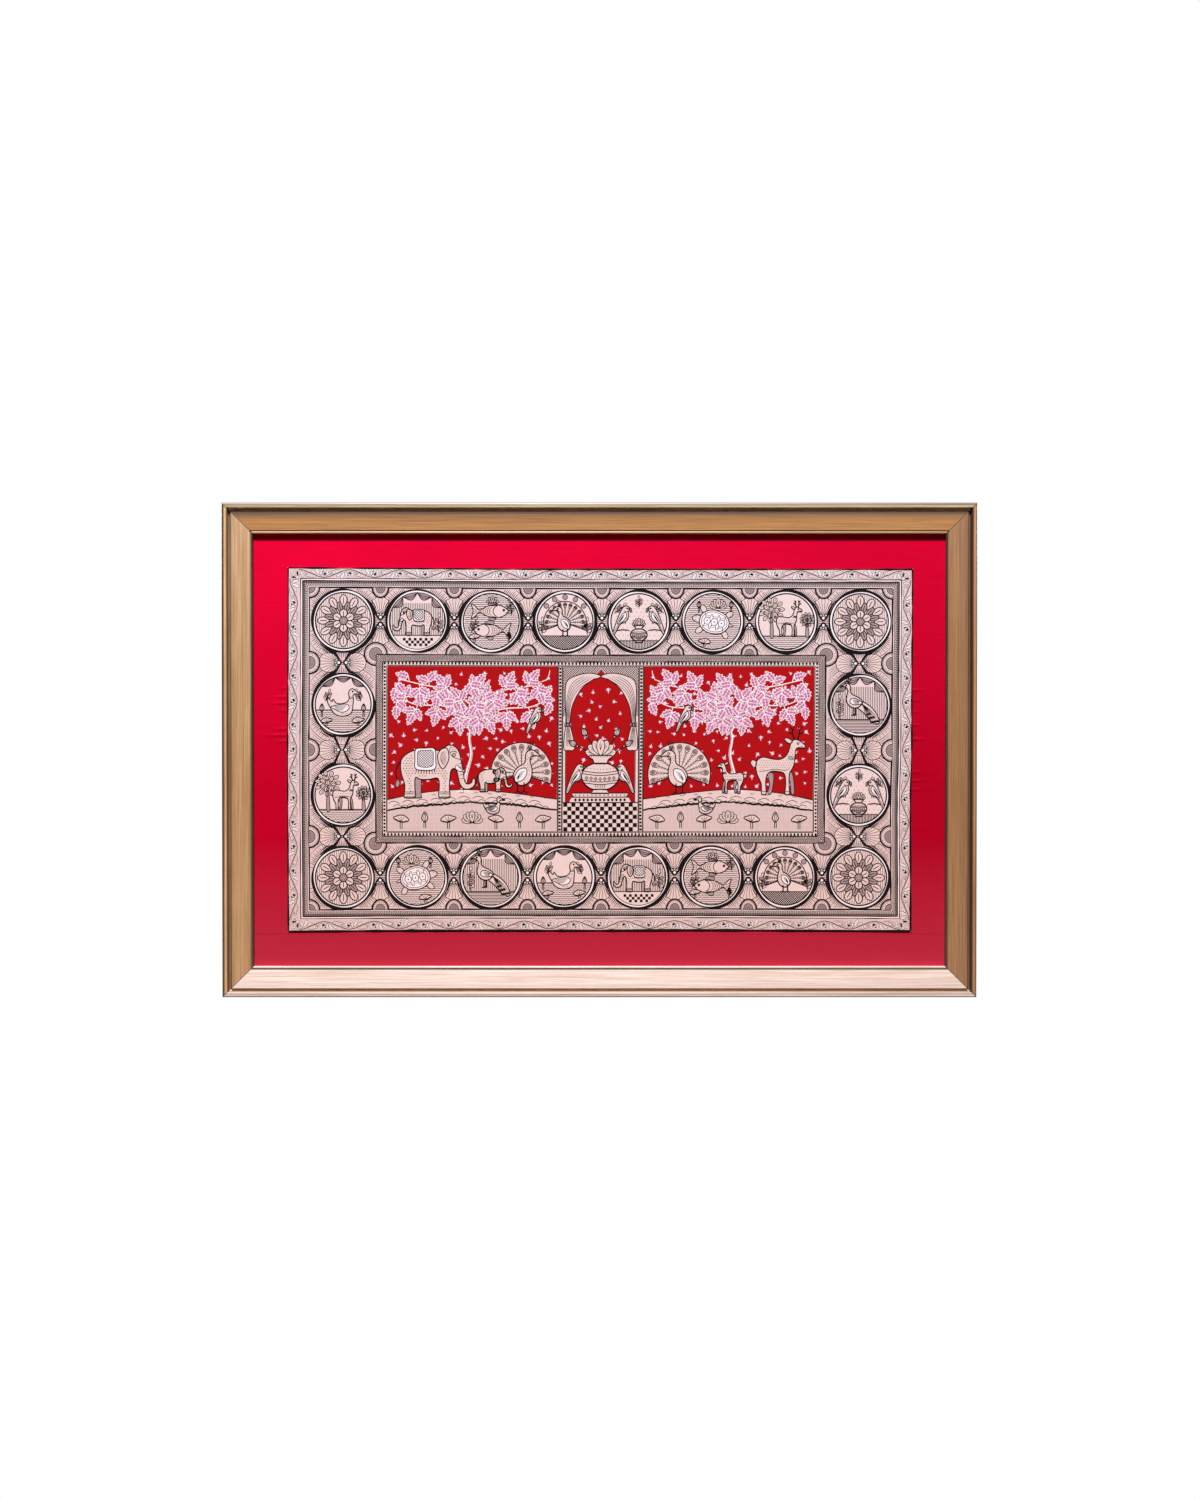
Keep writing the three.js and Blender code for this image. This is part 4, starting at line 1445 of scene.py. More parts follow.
def ring_frame(b, seed):
    """One ring round its pale ground. The seed says where its black line swells and wanders."""
    rng = random.Random(seed)
    phase = [rng.uniform(0, 6.28) for _ in range(3)]
    angle = np.linspace(0, 2 * math.pi, RING_POINTS, endpoint=False)
    around = round_the_origin(1, RING_POINTS)
    wobble = 0.4 * np.sin(angle + phase[0]) + 0.3 * np.sin(3 * angle + phase[1])
    widths = 2.3 + 0.8 * np.sin(angle * 2 + phase[2]) + 0.4 * np.sin(5 * angle + phase[0])
    b.plate(around * (RING_RADIUS + 0.6), "pale", smooth=False)
    b.line(around * (RING_RADIUS - 0.7 + wobble * 0.4)[:, None], widths, closed=True, smooth=False)
    b.ring((0, 0), 42.9, 2.4, "white")
    b.ring((0, 0), 40.9, 1.3)


RING_LEVEL = 6
RING_VERSIONS = 4
for seed in range(RING_VERSIONS):
    places = [(u, v, 67 * i) for i, (u, v) in enumerate(ring_places) if i % RING_VERSIONS == seed]
    stamp("rings", drawn(ring_frame, seed), places, RING_LEVEL)
print(len(ring_places), "rings")

# %% [markdown]
# ## Pictures in the rings
# The corner rings hold a lotus seen from above. The others hold one kind of animal each, with a floor or water,
# and swags or leaves above it. Each scene appears twice. Every second picture of a row is mirrored, and so are
# those of the right column.

# %% Ring scenes
FLOOR = -21
GROUND = disc_below(GROUND_RADIUS, FLOOR)
ALL_ROUND = arc((0, 0), PICTURED_RADIUS, 0, 360)[:-1]


def floor_line(b, y=FLOOR):
    x = math.sqrt(GROUND_RADIUS**2 - y**2)
    b.rule([(-x, y), (x, y)], 0.9)


def hall(b, top):
    """A hatched wall up to a height, a pale floor and swags. Returns the brush that drew them."""
    b.hatch(disc_below(PICTURED_RADIUS, top), 90, 2.6, 0.6, smooth=False)
    before = b.moved(lift=1)
    before.plate(GROUND, "pale", smooth=False)
    swags(before)
    return before


def elephant_scene(b):
    before = hall(b, 26)
    checks(before, GROUND, 4.0)
    floor_line(before)
    ink_spray(b.moved((-32, FLOOR), lift=2), 26, 6, 7)
    elephant(b.moved((-27, FLOOR), 0.48, lift=2))


def dancer_scene(b):
    for angle in (45, -45):
        b.hatch(GROUND, angle, 2.4, 0.7, smooth=False)
    floor_line(b)
    dancing_peacock(b.moved((0, -22), 0.6, lift=1))
    for x in (-33, 33):
        ink_spray(b.moved((x, -20), lift=1), 20, 6, 7)
    for turn in (-50, -25, 0, 25, 50):
        b.moved(turn=turn).moved((0, 40), turn=180).shape(petal(8, 7), "wash", 0.7)


def deer_scene(b):
    water(b, GROUND)
    floor_line(b)
    for x, height in ((-22, 54), (30, 34)):
        leafy_tree(b.moved((x, FLOOR), lift=1), height)
    deer(b.moved((-18, FLOOR), 0.44, lift=6))


def swan_scene(b):
    swags(b, scallops=3, drop=8, first=40, last=140)
    water(b, disc_below(GROUND_RADIUS, -8))
    floor_line(b, -8)
    for x in (-31, 30):
        bud(b.moved((x, -10), lift=1), 10, 8)
    for x, size in ((22, 12), (-24, 11)):
        lily_leaf(b.moved((x, -27), lift=1), size, 4)
    for x in (-26, 26):
        ink_spray(b.moved((x, 4), turn=x * 0.8, lift=1), 14, 6, 6)
    swan(b.moved((-21, -19), 0.5, lift=2))


def parrot_scene(b):
    b.hatch(disc_below(PICTURED_RADIUS, -28), 90, 2.2, 0.8, smooth=False)
    b.stipple(disc_below(PICTURED_RADIUS, 36), 6.5, 0.6, smooth=False)
    floor_line(b, -28)
    vase(b.moved((0, -30), 0.42, lift=1), buds=False)
    for side in (-1, 1):
        b.line([(side * 37, -14), (side * 24, -12), (side * 13, -13)], 1.3)
        parrot(b.moved((side * 34, -11), 0.42, flip=side > 0, lift=2))
        ink_spray(b.moved((side * 36, 12), turn=side * 50, lift=1), 17, 6, 6)
    ink_spray(b.moved((0, 20), lift=1), 12, 6, 6)


def fish_scene(b):
    water(b, ALL_ROUND)
    ink_spray(b.moved((-30, -18), turn=-20), 20, 6, 7)
    ink_spray(b.moved((30, 8), turn=10), 20, 6, 7)
    fish(b.moved((-28, 4), 0.54, lift=1))
    fish(b.moved((28, -24), 0.54, flip=True, lift=1))
    bud(b.moved((26, -26), lift=1), 10, 6)
    lotus(b.moved((2, 27), lift=1), 10, 5)
    lily_leaf(b.moved((-24, -26), lift=1), 11, 5)


def turtle_scene(b):
    water(b, ALL_ROUND)
    turtle(b.moved((-27, -6), 0.56, turn=12, lift=1))
    lotus(b.moved((-8, 20), lift=1), 14, 7)
    for x in (-27, 20):
        bud(b.moved((x, 20), lift=1), 9, 6)
    lily_leaf(b.moved((12, -33), lift=1), 12, 4)


def peacock_scene(b):
    before = hall(b, 27)
    floor_line(before)
    before.hatch(GROUND, 0, 2.2, 0.7, smooth=False)
    peacock(b.moved((-12, -14), 0.44, lift=2))
    ink_spray(b.moved((29, FLOOR), lift=2), 30, 7, 7)


print("ring scenes ready")

# %% Draw a scene in every ring
SCENES = {
    "top": (mandala, elephant_scene, fish_scene, dancer_scene, parrot_scene, turtle_scene, deer_scene, mandala),
    "bottom": (mandala, turtle_scene, peacock_scene, swan_scene, elephant_scene, fish_scene, dancer_scene, mandala),
    "left": (swan_scene, deer_scene),
    "right": (peacock_scene, parrot_scene),
}
b = Brush(level=RING_LEVEL)
for name, v in (("top", RING_ROWS[0]), ("bottom", RING_ROWS[3])):
    for i, scene in enumerate(SCENES[name]):
        scene(b.moved((RING_COLUMNS[i], v), flip=(i % 2 == 1) == (name == "top") and scene is not mandala))
for name, u, flip in (("left", RING_COLUMNS[0], False), ("right", RING_COLUMNS[7], True)):
    for scene, v in zip(SCENES[name], RING_ROWS[1:3]):
        scene(b.moved((u, v), flip=flip))
lay("rings", b)
print(len(b.marks), "marks in the rings")

# %% [markdown]
# ## The wide panels
# Each shows a flowering tree on a red ground strewn with small flowers, animals on a stony bank, and a lotus pond
# below. The leaves are stamped on twigs that the brush draws along the limbs.

# %% Panel sizes, and the tree
PANEL = inset(BAND, PANEL_INSET)
NARROW_WIDTH = 110.0
DIVIDER = 8.5
PANEL_HEIGHT = PANEL[3] - PANEL[1]
WIDE_WIDTH = (PANEL[2] - PANEL[0] - NARROW_WIDTH - 2 * DIVIDER) / 2
PANEL_LEVEL = 1
TWIG_PITCH, TWIG_LENGTH = 15, 14


def flowering_tree(b, wide):
    """Trunk, limbs and twigs in white. Returns the place and turn of each leaf, for stamping."""
    leaves = []
    base = wide * 0.47
    trunk = [(base - 6, 58), (base - 1, 84), (base + 6, 112), (base + 3, 136), (base + 8, 158)]
    b.line(trunk, [6.0, 4.6, 3.8, 3.6, 3.2], "white", taper=False)
    b.line([(base - 16, 57), (base - 6, 61), (base + 5, 57)], [1, 5, 1], "white")
    b.line([(x + 0.9, y) for x, y in trunk], 0.8, "plum", taper=False)
    limbs = [
        [(base + 4, 146), (base - 10, 170), (base - 38, 184), (base - 72, 184), (base - 102, 196)],
        [(base + 8, 158), (base - 4, 184), (base - 30, 206), (base - 66, 214), (base - 100, 222)],
        [(base + 5, 150), (base + 26, 172), (base + 58, 180), (base + 92, 182), (base + 118, 194)],
        [(base + 8, 158), (base + 24, 186), (base + 52, 206), (base + 88, 212), (base + 116, 222)],
        [(base + 8, 158), (base + 8, 190), (base + 2, 222)],
    ]
    for n, limb in enumerate(limbs):
        b.line(limb, [2.6, 2.1, 1.6, 1.2], "white", taper=False)
        path = curve(limb, tolerance=0.002)
        run = np.r_[0, np.cumsum(np.linalg.norm(np.diff(path, axis=0), axis=1))]
        count = int(run[-1] / TWIG_PITCH)
        for i in range(1, count + 1):
            reach = run[-1] * i / count
            at = np.array([np.interp(reach, run, path[:, 0]), np.interp(reach, run, path[:, 1])])
            side = 1 if (i + n) % 2 else -1
            hang = math.radians((64 if side > 0 else -76) + 16 * math.sin(i * 2.3 + n))
            twig = np.array([math.cos(hang) * (1 if at[0] > base else -1), math.sin(hang)])
            b.line([at, at + twig * 8 + (1, 0), at + twig * TWIG_LENGTH], 1.1, "white", taper=False)
            turn = math.degrees(math.atan2(twig[1], twig[0])) - 90
            for share, lean in ((0.5, 56), (0.6, -56), (1.0, 4)):
                leaves.append((at + twig * TWIG_LENGTH * share, turn + lean))
    return leaves


print("panel", [round(edge, 1) for edge in PANEL], "mm")

# %% The bank and its pond
def stony_bank(b, wide, shore, seed):
    """The bank of earth and stones, and the pond below it with its fine ruled net."""
    crest = [(0, 46), (wide * 0.2, 56), (wide * 0.45, 61), (wide * 0.7, 57), (wide, 47)]
    b.plate([(0, 0)] + list(map(tuple, curve(crest))) + [(wide, 0)], "cream", smooth=False)
    b.line(crest, 0.9, taper=False)
    rng = random.Random(seed)
    edge = curve(shore, tolerance=0.003)
    b.rule([(x, y + rng.uniform(-0.9, 0.9)) for x, y in edge], [1.6, 2.3, 1.5, 2.4, 1.6])
    pond = [(0.6, 0.6)] + [(x, y - 1.4) for x, y in edge[::3]] + [(wide - 0.6, edge[-1][1] - 1.4), (wide - 0.6, 0.6)]
    b.plate(pond, "pale", smooth=False)
    for angle in (0, 90):
        b.hatch(pond, angle, 1.9, 0.35, "wash", smooth=False)
    for i in range(12):
        x = wide * (0.04 + 0.083 * i)
        y = 51 - 18 * abs(x / wide - 0.5)
        for dx, dy, size in ((0, 0, 9), (5, -5, 7), (-5, -7, 6)):
            if 4 < x + dx - size / 2 and x + dx + size < wide - 3:
                stone = [(-size, -2.5), (-size * 0.3, 0.8), (size * 0.4, 0), (size, -3)]
                b.line([(x + dx + across, y + dy + up) for across, up in stone], 0.6)
        for k in range(4):
            b.rule([(x + 1.4 * k - 6, y + 5), (x + 1.8 * k - 6.5, y + 7.4)], 0.4)


def pond_flowers(b, wide):
    for i in range(7):
        spot = b.moved((wide * (0.08 + 0.14 * i), 13), lift=1)
        if i == 3:
            lotus(spot, 17, 7)
        elif i % 2:
            bud(spot, 14, 8)
        else:
            lily_leaf(spot, 15, 9, lean=1 if i % 4 else -1)


print("bank and pond ready")

# %% [markdown]
# The leaves keep clear of the panel's edges: a leaf whose tip would cross the ruled line is left out. Two leaves
# that overlap need different levels, so each leaf takes the lowest level that no near neighbour has.

# %% Draw both wide panels
LEAF = 18.5
RED_PARTS = 5
ABOVE_ITS_LEVEL = 0.15
FLOWERS_APART = 13.5


def layered(leaves):
    """Leaves as lists, one for each level, without overlaps inside a list."""
    layers = []
    for at, turn in leaves:
        way = np.array([-math.sin(math.radians(turn)), math.cos(math.radians(turn))])
        tip, heart = at + LEAF * way, at + LEAF / 2 * way
        if not all(3 < p[0] < WIDE_WIDTH - 3 and p[1] < PANEL_HEIGHT - 2 for p in (at, tip)):
            continue
        for layer in layers:
            if all(np.linalg.norm(heart - other) > LEAF for _, _, other in layer):
                break
        else:
            layer = []
            layers.append(layer)
        layer.append((at, turn, heart))
    print(sum(map(len, layers)), "leaves on", len(layers), "levels")
    return [[(at, turn) for at, turn, _ in layer] for layer in layers]


def red_ground(b, left, bottom, wide, tall):
    """The red ground as a coarse grid, so that it can bend with the cloth."""
    wide, tall = wide / RED_PARTS, tall / RED_PARTS
    for i in range(RED_PARTS):
        for j in range(RED_PARTS):
            x, y = left + wide * i, bottom + tall * j
            b.plate(corners((x, y, x + wide, y + tall)), "red", smooth=False)


def small_flower(b):
    for turn in (-38, 0, 38):
        b.moved(turn=turn).plate(petal(4.4, 2.2), "pink" if turn else "white")
    b.rule([(0, -2.2), (0, 0.6)], 0.7, "white")


def strew_flowers(box, level, seed):
    """Small flowers all over a box, just above a level."""
    ground = bpy.data.meshes.new("ground")
    height = (level + ABOVE_ITS_LEVEL) * LEVEL
    ground.from_pydata([(u * MM, -height * MM, v * MM) for u, v in corners(box)], [], [(0, 1, 2, 3)])
    grow(STREW, ground, "panels", drawn(small_flower), Spacing=FLOWERS_APART * MM, Seed=seed)


# Each animal: how to draw it, its options, its place in the panel in mm, its size, whether mirrored, and its lift.
LEFT_ANIMALS = (
    (elephant, {}, (8, 49), 0.92, False, 0),
    (elephant, {"rug": False}, (128, 58), 0.42, False, 0),
    (dancing_peacock, {}, (196, 56), 0.86, False, 0),
    (swan, {}, (142, 24), 0.32, False, 0),
    (parrot, {}, (206, 150), 0.4, False, 0),
)
RIGHT_ANIMALS = (
    (deer, {}, (158, 54), 0.84, False, 0),
    (deer, {"antlers": False}, (150, 56), 0.46, True, 4),
    (dancing_peacock, {}, (52, 54), 0.88, True, 0),
    (swan, {}, (104, 24), 0.32, True, 0),
    (parrot, {}, (50, 152), 0.4, False, 0),
)
WIDE_PANELS = ((PANEL[0], False, LEFT_ANIMALS, 5), (PANEL[2] - WIDE_WIDTH, True, RIGHT_ANIMALS, 6))
SHORE = [(0, 30), (0.15, 36), (0.3, 39), (0.5, 42), (0.7, 40), (0.85, 36), (1, 31)]
for panel_left, flip, animals, seed in WIDE_PANELS:
    b = Brush(level=PANEL_LEVEL)
    red_ground(b, panel_left, PANEL[1], WIDE_WIDTH, PANEL_HEIGHT)
    strew_flowers((panel_left + 6, PANEL[1] + 66, panel_left + WIDE_WIDTH - 6, PANEL[3] - 8), PANEL_LEVEL, seed)
    ground = b.moved((panel_left + (WIDE_WIDTH if flip else 0), PANEL[1]), flip=flip, lift=1)
    stony_bank(ground, WIDE_WIDTH, [(WIDE_WIDTH * share, y) for share, y in SHORE], seed)
    pond_flowers(ground, WIDE_WIDTH)
    for layer, places in enumerate(layered(flowering_tree(ground, WIDE_WIDTH))):
        spots = [(*ground.place([at])[0], -turn if flip else turn) for at, turn in places]
        stamp("panels", drawn(foliage_leaf, LEAF, LEAF * 0.68), spots, PANEL_LEVEL + 2 + layer)
    for animal, options, at, size, turned_round, lift in animals:
        animal(b.moved((panel_left + at[0], PANEL[1] + at[1]), size, flip=turned_round, lift=5 + lift), **options)
    lay("panels", b)
print("wide panels", round(WIDE_WIDTH, 1), "x", round(PANEL_HEIGHT, 1), "mm")

# %% [markdown]
# ## The narrow panel
# A pointed arch with curtains stands over a full vase on a stepped table, between two parrots, on a floor of
# black and white squares.

# %% Draw the narrow panel and the dividers
SHRINE_FLOOR = 42.0


def shrine(b, wide, tall):
    """The arch with its curtains and parrots, the vase on its table, and the tiles."""
    middle, floor = wide / 2, SHRINE_FLOOR
    b.plate(corners((0, 0, wide, tall)), "cream", smooth=False)
    for angle in (45, -45):
        b.hatch(corners((0, tall - 72, wide, tall)), angle, 2.4, 0.5, smooth=False)
    half = [(middle - 4, floor), (middle - 4, tall - 62), (middle - 9, tall - 48), (middle - 20, tall - 42),
            (middle - 24, tall - 28), (middle - 38, tall - 22), (4, tall - 9), (0, tall - 4)]
    up = b.moved((middle, 0), lift=1)
    arch = mirrored(half)
    up.plate(arch, "red", smooth=False)
    up.line(arch, 2.6, "cream", closed=True, smooth=False)
    up.line(arch, 0.9, closed=True, smooth=False)
    for flip in (False, True):
        curtain = b.moved((middle, tall), flip=flip, lift=2)
        curtain.shape([(0, -14), (14, -20), (30, -34), (42, -58), (46, -84), (50, -84), (52, -50), (50, -22), (34, -12),
                       (14, -9)], "cream", 0.9)
        curtain.shape([(45, -86), (51, -86), (54, -118), (47, -122), (38, -118)], "cream", 0.9)
        curtain.shape([(43, -82), (53, -82), (53, -87), (43, -87)], "wash", 0.8, smooth=False)
        for share in (0.1, 0.3, 0.5, 0.7, 0.9):
            curtain.line([(6 + 20 * share, 4 * share - 16), (34 + 10 * share, 12 * share - 36),
                          (44 + 7 * share, 6 * share - 58), (46 + 4 * share, -82)], 0.5)
            curtain.line([(46 + 4 * share, -88), (40 + 12 * share, -117)], 0.5)
        parrot(b.moved((middle, 0), flip=flip, lift=2).moved((46, floor + 21), 0.44, flip=True, lift=1))
    table = b.moved((middle, floor), lift=3)
    table.shape(mirrored([(46, 0), (42, 8)]), "cream", 1.0, smooth=False)
    table.shape(mirrored([(38, 8), (42, 14)]), "cream", 1.0, smooth=False)
    for i in range(13):
        table.moved((-36 + 6 * i, 4)).plate([(0, -2.6), (2.3, 0), (0, 2.6), (-2.3, 0)], "ink", smooth=False)
        table.dot((-36 + 6 * i, 11), 1.0)
    vase(table.moved((0, 14), 0.95, lift=1))
    tiles = b.moved(lift=2)
    tiles.plate(corners((0, 0, wide, floor)), "cream", smooth=False)
    checks(tiles, corners((1, 0, wide - 1, floor)), 6.0)
    tiles.rule([(0, floor), (wide, floor)], 1.1)


b = Brush(level=PANEL_LEVEL)
narrow_left = PANEL[0] + WIDE_WIDTH + DIVIDER
strew_flowers((narrow_left + 24, PANEL[1] + 100, narrow_left + NARROW_WIDTH - 24, PANEL[3] - 34), PANEL_LEVEL + 1, 7)
shrine(b.moved((narrow_left, PANEL[1])), NARROW_WIDTH, PANEL_HEIGHT)
for x in (narrow_left - DIVIDER, narrow_left + NARROW_WIDTH):
    strip = b.moved((x, PANEL[1]))
    strip.plate(corners((0, 0, DIVIDER, PANEL_HEIGHT)), "cream", smooth=False)
    for off, width in ((0.6, 1.0), (2.0, 0.6), (DIVIDER - 2.0, 0.6), (DIVIDER - 0.6, 1.0)):
        strip.rule([(off, 0), (off, PANEL_HEIGHT)], width)
    bead_row = x + DIVIDER / 2
    row("panels", bead, (bead_row, PANEL[1]), (bead_row, PANEL[3]), BEAD_PITCH, PANEL_LEVEL, ends=False)
lay("panels", b)
print(len(b.marks), "marks in the narrow panel")

# %% [markdown]
# ## The hand-cut edge
# The cloth isn't a true rectangle: its edges wander by a millimetre or two. Every point of the cloth and of the
# paint goes through one function that stretches the flat drawing between the four wandering edges, so paint and
# cloth stay together.

# %% Stretch the drawing to the cloth
def edge_offsets(side, share):
    """How far an edge has wandered at a share of its length."""
    smooth = curve(EDGE_WANDER[side], tolerance=0.0005)
    return np.interp(share, smooth[:, 0], smooth[:, 1])


def on_the_cloth(points):
    """Flat points (u, height, v) in mm, placed on the picture's cloth in metres."""
    u, height, v = points.T
    across = (u - PICTURE[0]) / (PICTURE[2] - PICTURE[0])
    up = (v - PICTURE[1]) / (PICTURE[3] - PICTURE[1])
    u = u + (1 - across) * edge_offsets("left", up) + across * edge_offsets("right", up)
    v = v + (1 - up) * edge_offsets("bottom", across) + up * edge_offsets("top", across)
    return np.column_stack([u * MM + middle_x, -(PICTURE_FRONT + height) * MM, v * MM + middle_z])


def flat_uv(mesh):
    """A UV map that looks straight at the piece and fills the unit square."""
    points = np.empty(3 * len(mesh.vertices), np.float32)
    mesh.vertices.foreach_get("co", points)
    flat = points.reshape(-1, 3)[:, [0, 2]]
    low, high = flat.min(0), flat.max(0)
    flat = 0.01 + 0.98 * (flat - low) / (high - low)
    index = np.empty(len(mesh.loops), np.int32)
    mesh.loops.foreach_get("vertex_index", index)
    mesh.uv_layers.new(name="OFBake").data.foreach_set("uv", flat[index].ravel())


REGIONS = {"ink": ("border", "feathering", "links", "rings", "band", "panels")}
PIECE_NAMES = {
    "grey": "grey_band_wash", "red": "red_panel_ground", "pale": "pale_grounds", "cream": "cream_shapes",
    "wash": "grey_shapes", "pink": "pink_foliage", "white": "white_paint", "plum": "plum_veins", "ink": "ink",
}
total = 0
for paint, name in PIECE_NAMES.items():
    for region in REGIONS.get(paint, ("",)):
        parts = [found for (where, what), found in laid.items() if what == paint and region in ("", where)]
        points, faces = join(sum(parts, []))
        mesh = mesh_from(name, on_the_cloth(points), faces)
        mesh.materials.append(PAINTS[paint])
        flat_uv(mesh)
        piece = linked(f"{name}_{region}" if region else name, mesh)
        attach(piece, "root")
        total += len(faces)
        print(f"{piece.name}: {len(faces)} triangles")
print("paint in all:", total, "triangles")

# %% [markdown]
# ## Cloths
# The painting's cloth is silk primed with chalk and gum, so it is stiff, matt and a little pinkish. The red cloth
# round it is raw silk with a soft lustre and thicker weft threads. It lies flat on the board but for small
# puckers where the picture's stitches pull it. Each is a closed sheet of one millimetre with the CAD's outline.

# %% Sheets with puckers
def sheet_mesh(name, across, up, front_of):
    """A closed sheet over a grid. front_of gives the points of its front in metres from flat ones in mm."""
    u, v = np.meshgrid(across, up)
    front = front_of(np.column_stack([u.ravel(), np.zeros(u.size), v.ravel()]))
    back = front + (0, CLOTH_THICKNESS * MM, 0)
    columns, rows = len(across), len(up)
    index = np.arange(columns * rows).reshape(rows, columns)
    a, b, c, d = (part.ravel() for part in (index[:-1, :-1], index[:-1, 1:], index[1:, 1:], index[1:, :-1]))
    n = columns * rows
    faces = [np.column_stack(t) for t in ((a, b, c), (a, c, d), (a + n, c + n, b + n), (a + n, d + n, c + n))]
    rim = np.r_[index[0, :], index[1:, -1], index[-1, -2::-1], index[-2:0:-1, 0]]
    after = np.roll(rim, -1)
    faces += [np.column_stack([rim, rim + n, after + n]), np.column_stack([rim, after + n, after])]
    mesh = mesh_from(name, np.vstack([front, back]), np.vstack(faces))
    flat_uv(mesh)
    return mesh


PUCKER_HALF_WIDTH = 3.6
PUCKERS = {
    -1: ((91, 13, 0.7), (78, 24, 0.9), (69, 28, 1.0), (58, 13, 0.8), (31, 26, 0.8), (22, 36, 1.1), (13, 24, 0.8)),
    1: ((138, 14, 0.5), (88, 20, 1.0), (73, 16, 0.6), (56, 16, 0.6), (37, 18, 0.8), (16, 22, 1.1), (-32, 16, 0.8),
        (-45, 20, 1.0), (-58, 16, 0.8)),
}


def puckered(front_y):
    """The red cloth's front: flat but for ridges that start at the picture's sides, each (height, reach, rise)."""
    def front_of(points):
        u, _, v = points.T
        rise = np.zeros(len(u))
        for side, ridges in PUCKERS.items():
            outward = PICTURE[0] - u if side < 0 else u - PICTURE[2]
            for height, reach, tall in ridges:
                offset = np.clip(np.abs(v - height) / PUCKER_HALF_WIDTH, 0, 1)
                fade = np.clip(outward / 3, 0, 1) * np.clip(1 - outward / reach, 0, 1)
                rise = np.maximum(rise, tall * fade * np.cos(offset * math.pi / 2) ** 2)
        return np.column_stack([u * MM + middle_x, front_y - rise * MM, v * MM + middle_z])
    return front_of


def steps(start, *zones):
    """Grid lines from start through zones of (end, step)."""
    lines = [start]
    for end, step in zones:
        lines += list(np.linspace(lines[-1], end, max(1, round((end - lines[-1]) / step)) + 1)[1:])
    return np.array(lines)


def even_grid(box, step_across, step_up):
    return steps(box[0], (box[2], step_across)), steps(box[1], (box[3], step_up))


def flat_box(node):
    """A CAD node's box as (left, bottom, right, top) in mm from the frame's middle."""
    low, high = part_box(node)
    return tuple(round(c / MM, 3) for c in (low.x - middle_x, low.z - middle_z, high.x - middle_x, high.z - middle_z))


print("sheet tools ready")

# %% [markdown]
# The red silk was dyed by hand. Its colour carries painted light: brighter at the top and to the left, darker lower
# down and to the right, with a pale pink sheen painted towards its lower edge. The picture's cloth is primed, so it
# takes the same material as a paint, only coarser. Round the puckers the red cloth has a finer grid.

# %% Silks and their sheets
def silk_material():
    """Raw silk dyed red: slubs and fine threads, a painted lustre that dies off to the right, painted light that is
    duller low down, and a painted pale sheen below.
    """
    made, tree, where, shader = new_material("raw silk dyed red")
    slub = noise(tree, stretched(tree, where, (0.05, 1.0, 1.0)), 2.4, 3.0)
    uneven = calc(tree, "MULTIPLY", slub, noise(tree, where, 160.0, 2.0))
    # The slubs vary the red at random; the fall to the right is painted light.
    painted_falloff_to_right = between(tree, where, "X", -520, 520, 1.02, 0.84)
    lustre = calc(tree, "MULTIPLY", ranged(tree, uneven, 0.12, 0.42, 0.92, 1.08), painted_falloff_to_right)
    # Painted light: the red is brighter at the top and darker towards the middle.
    dyed = blend(tree, between(tree, where, "Z", 260, -60), linear("D80030"), linear("B90021"))
    # Painted sheen: a pale pink reflection towards the lower edge.
    red_with_painted_sheen = blend(tree, between(tree, where, "Z", -130, -320), dimmed(tree, dyed, lustre), linear("B8293D"))
    rough = ranged(tree, slub, 0.0, 1.0, 0.62, 0.78)
    cover(tree, shader, red_with_painted_sheen, rough, weave_height(tree, where, 0.7, 1.6), 0.6, 0.04)
    shader.inputs["Specular IOR Level"].default_value = 0.03
    return made


red_silk = silk_material()
# Like the paints, the primed cloth takes painted warmer light low down.
primed_silk = paint_material("silk primed with chalk and gum", "E2C9C6", "D2B6B2", 0.9, 22.0, 0.06)

upper, lower = flat_box("mat_cloth_upper"), flat_box("mat_cloth_lower")
mat_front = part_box("mat_cloth_lower")[0].y
LEFT_PUCKER_REACH, RIGHT_PUCKER_REACH = 38, 26
fine_round_puckers = (
    steps(upper[0], (PICTURE[0] - LEFT_PUCKER_REACH, 8), (PICTURE[0], 1.5), (PICTURE[2], 12),
          (PICTURE[2] + RIGHT_PUCKER_REACH, 1.5), (upper[2], 8)),
    steps(upper[1], (-64, 12), (-26, 1), (8, 6), (98, 1), (132, 6), (144, 1), (upper[3], 12)),
)
SHEETS = (
    ("red_silk_upper", "mat_cloth_upper", fine_round_puckers, puckered(mat_front), red_silk, "red_silk", upper),
    ("red_silk_lower", "mat_cloth_lower", even_grid(lower, 8, 6), puckered(mat_front), red_silk, "red_silk", lower),
    ("primed_silk", "painted_cloth", even_grid(PICTURE, 8, 8), on_the_cloth, primed_silk, "painted_silk", PICTURE),
)
for name, node, grid, front_of, material, slot, box in SHEETS:
    mesh = sheet_mesh(name, *grid, front_of)
    mesh.materials.append(material)
    cloth = linked(name, mesh)
    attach(cloth, "root")
    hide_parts(node)
    print(f"{name}: {len(mesh.polygons)} triangles, {box[2] - box[0]:.1f} x {box[3] - box[1]:.1f} mm flat")

# %% [markdown]
# ## Frame and board
# The rails are wood with a champagne lacquer that has a little metal powder in it. It gives a satin shine, and
# the grain still shows as fine streaks along each rail. Shade is painted into the grooves and highlights onto the
# lips and the bead, as the light falls on each rail. So each rail has a list of painted tones from its outer edge to
# its inner one, on the front only.
# The board behind is plain hardboard.

# %% Painted light and shade across each rail
RAIL_WIDTH = 44.0
BRIGHTEST_TONE = 7.0
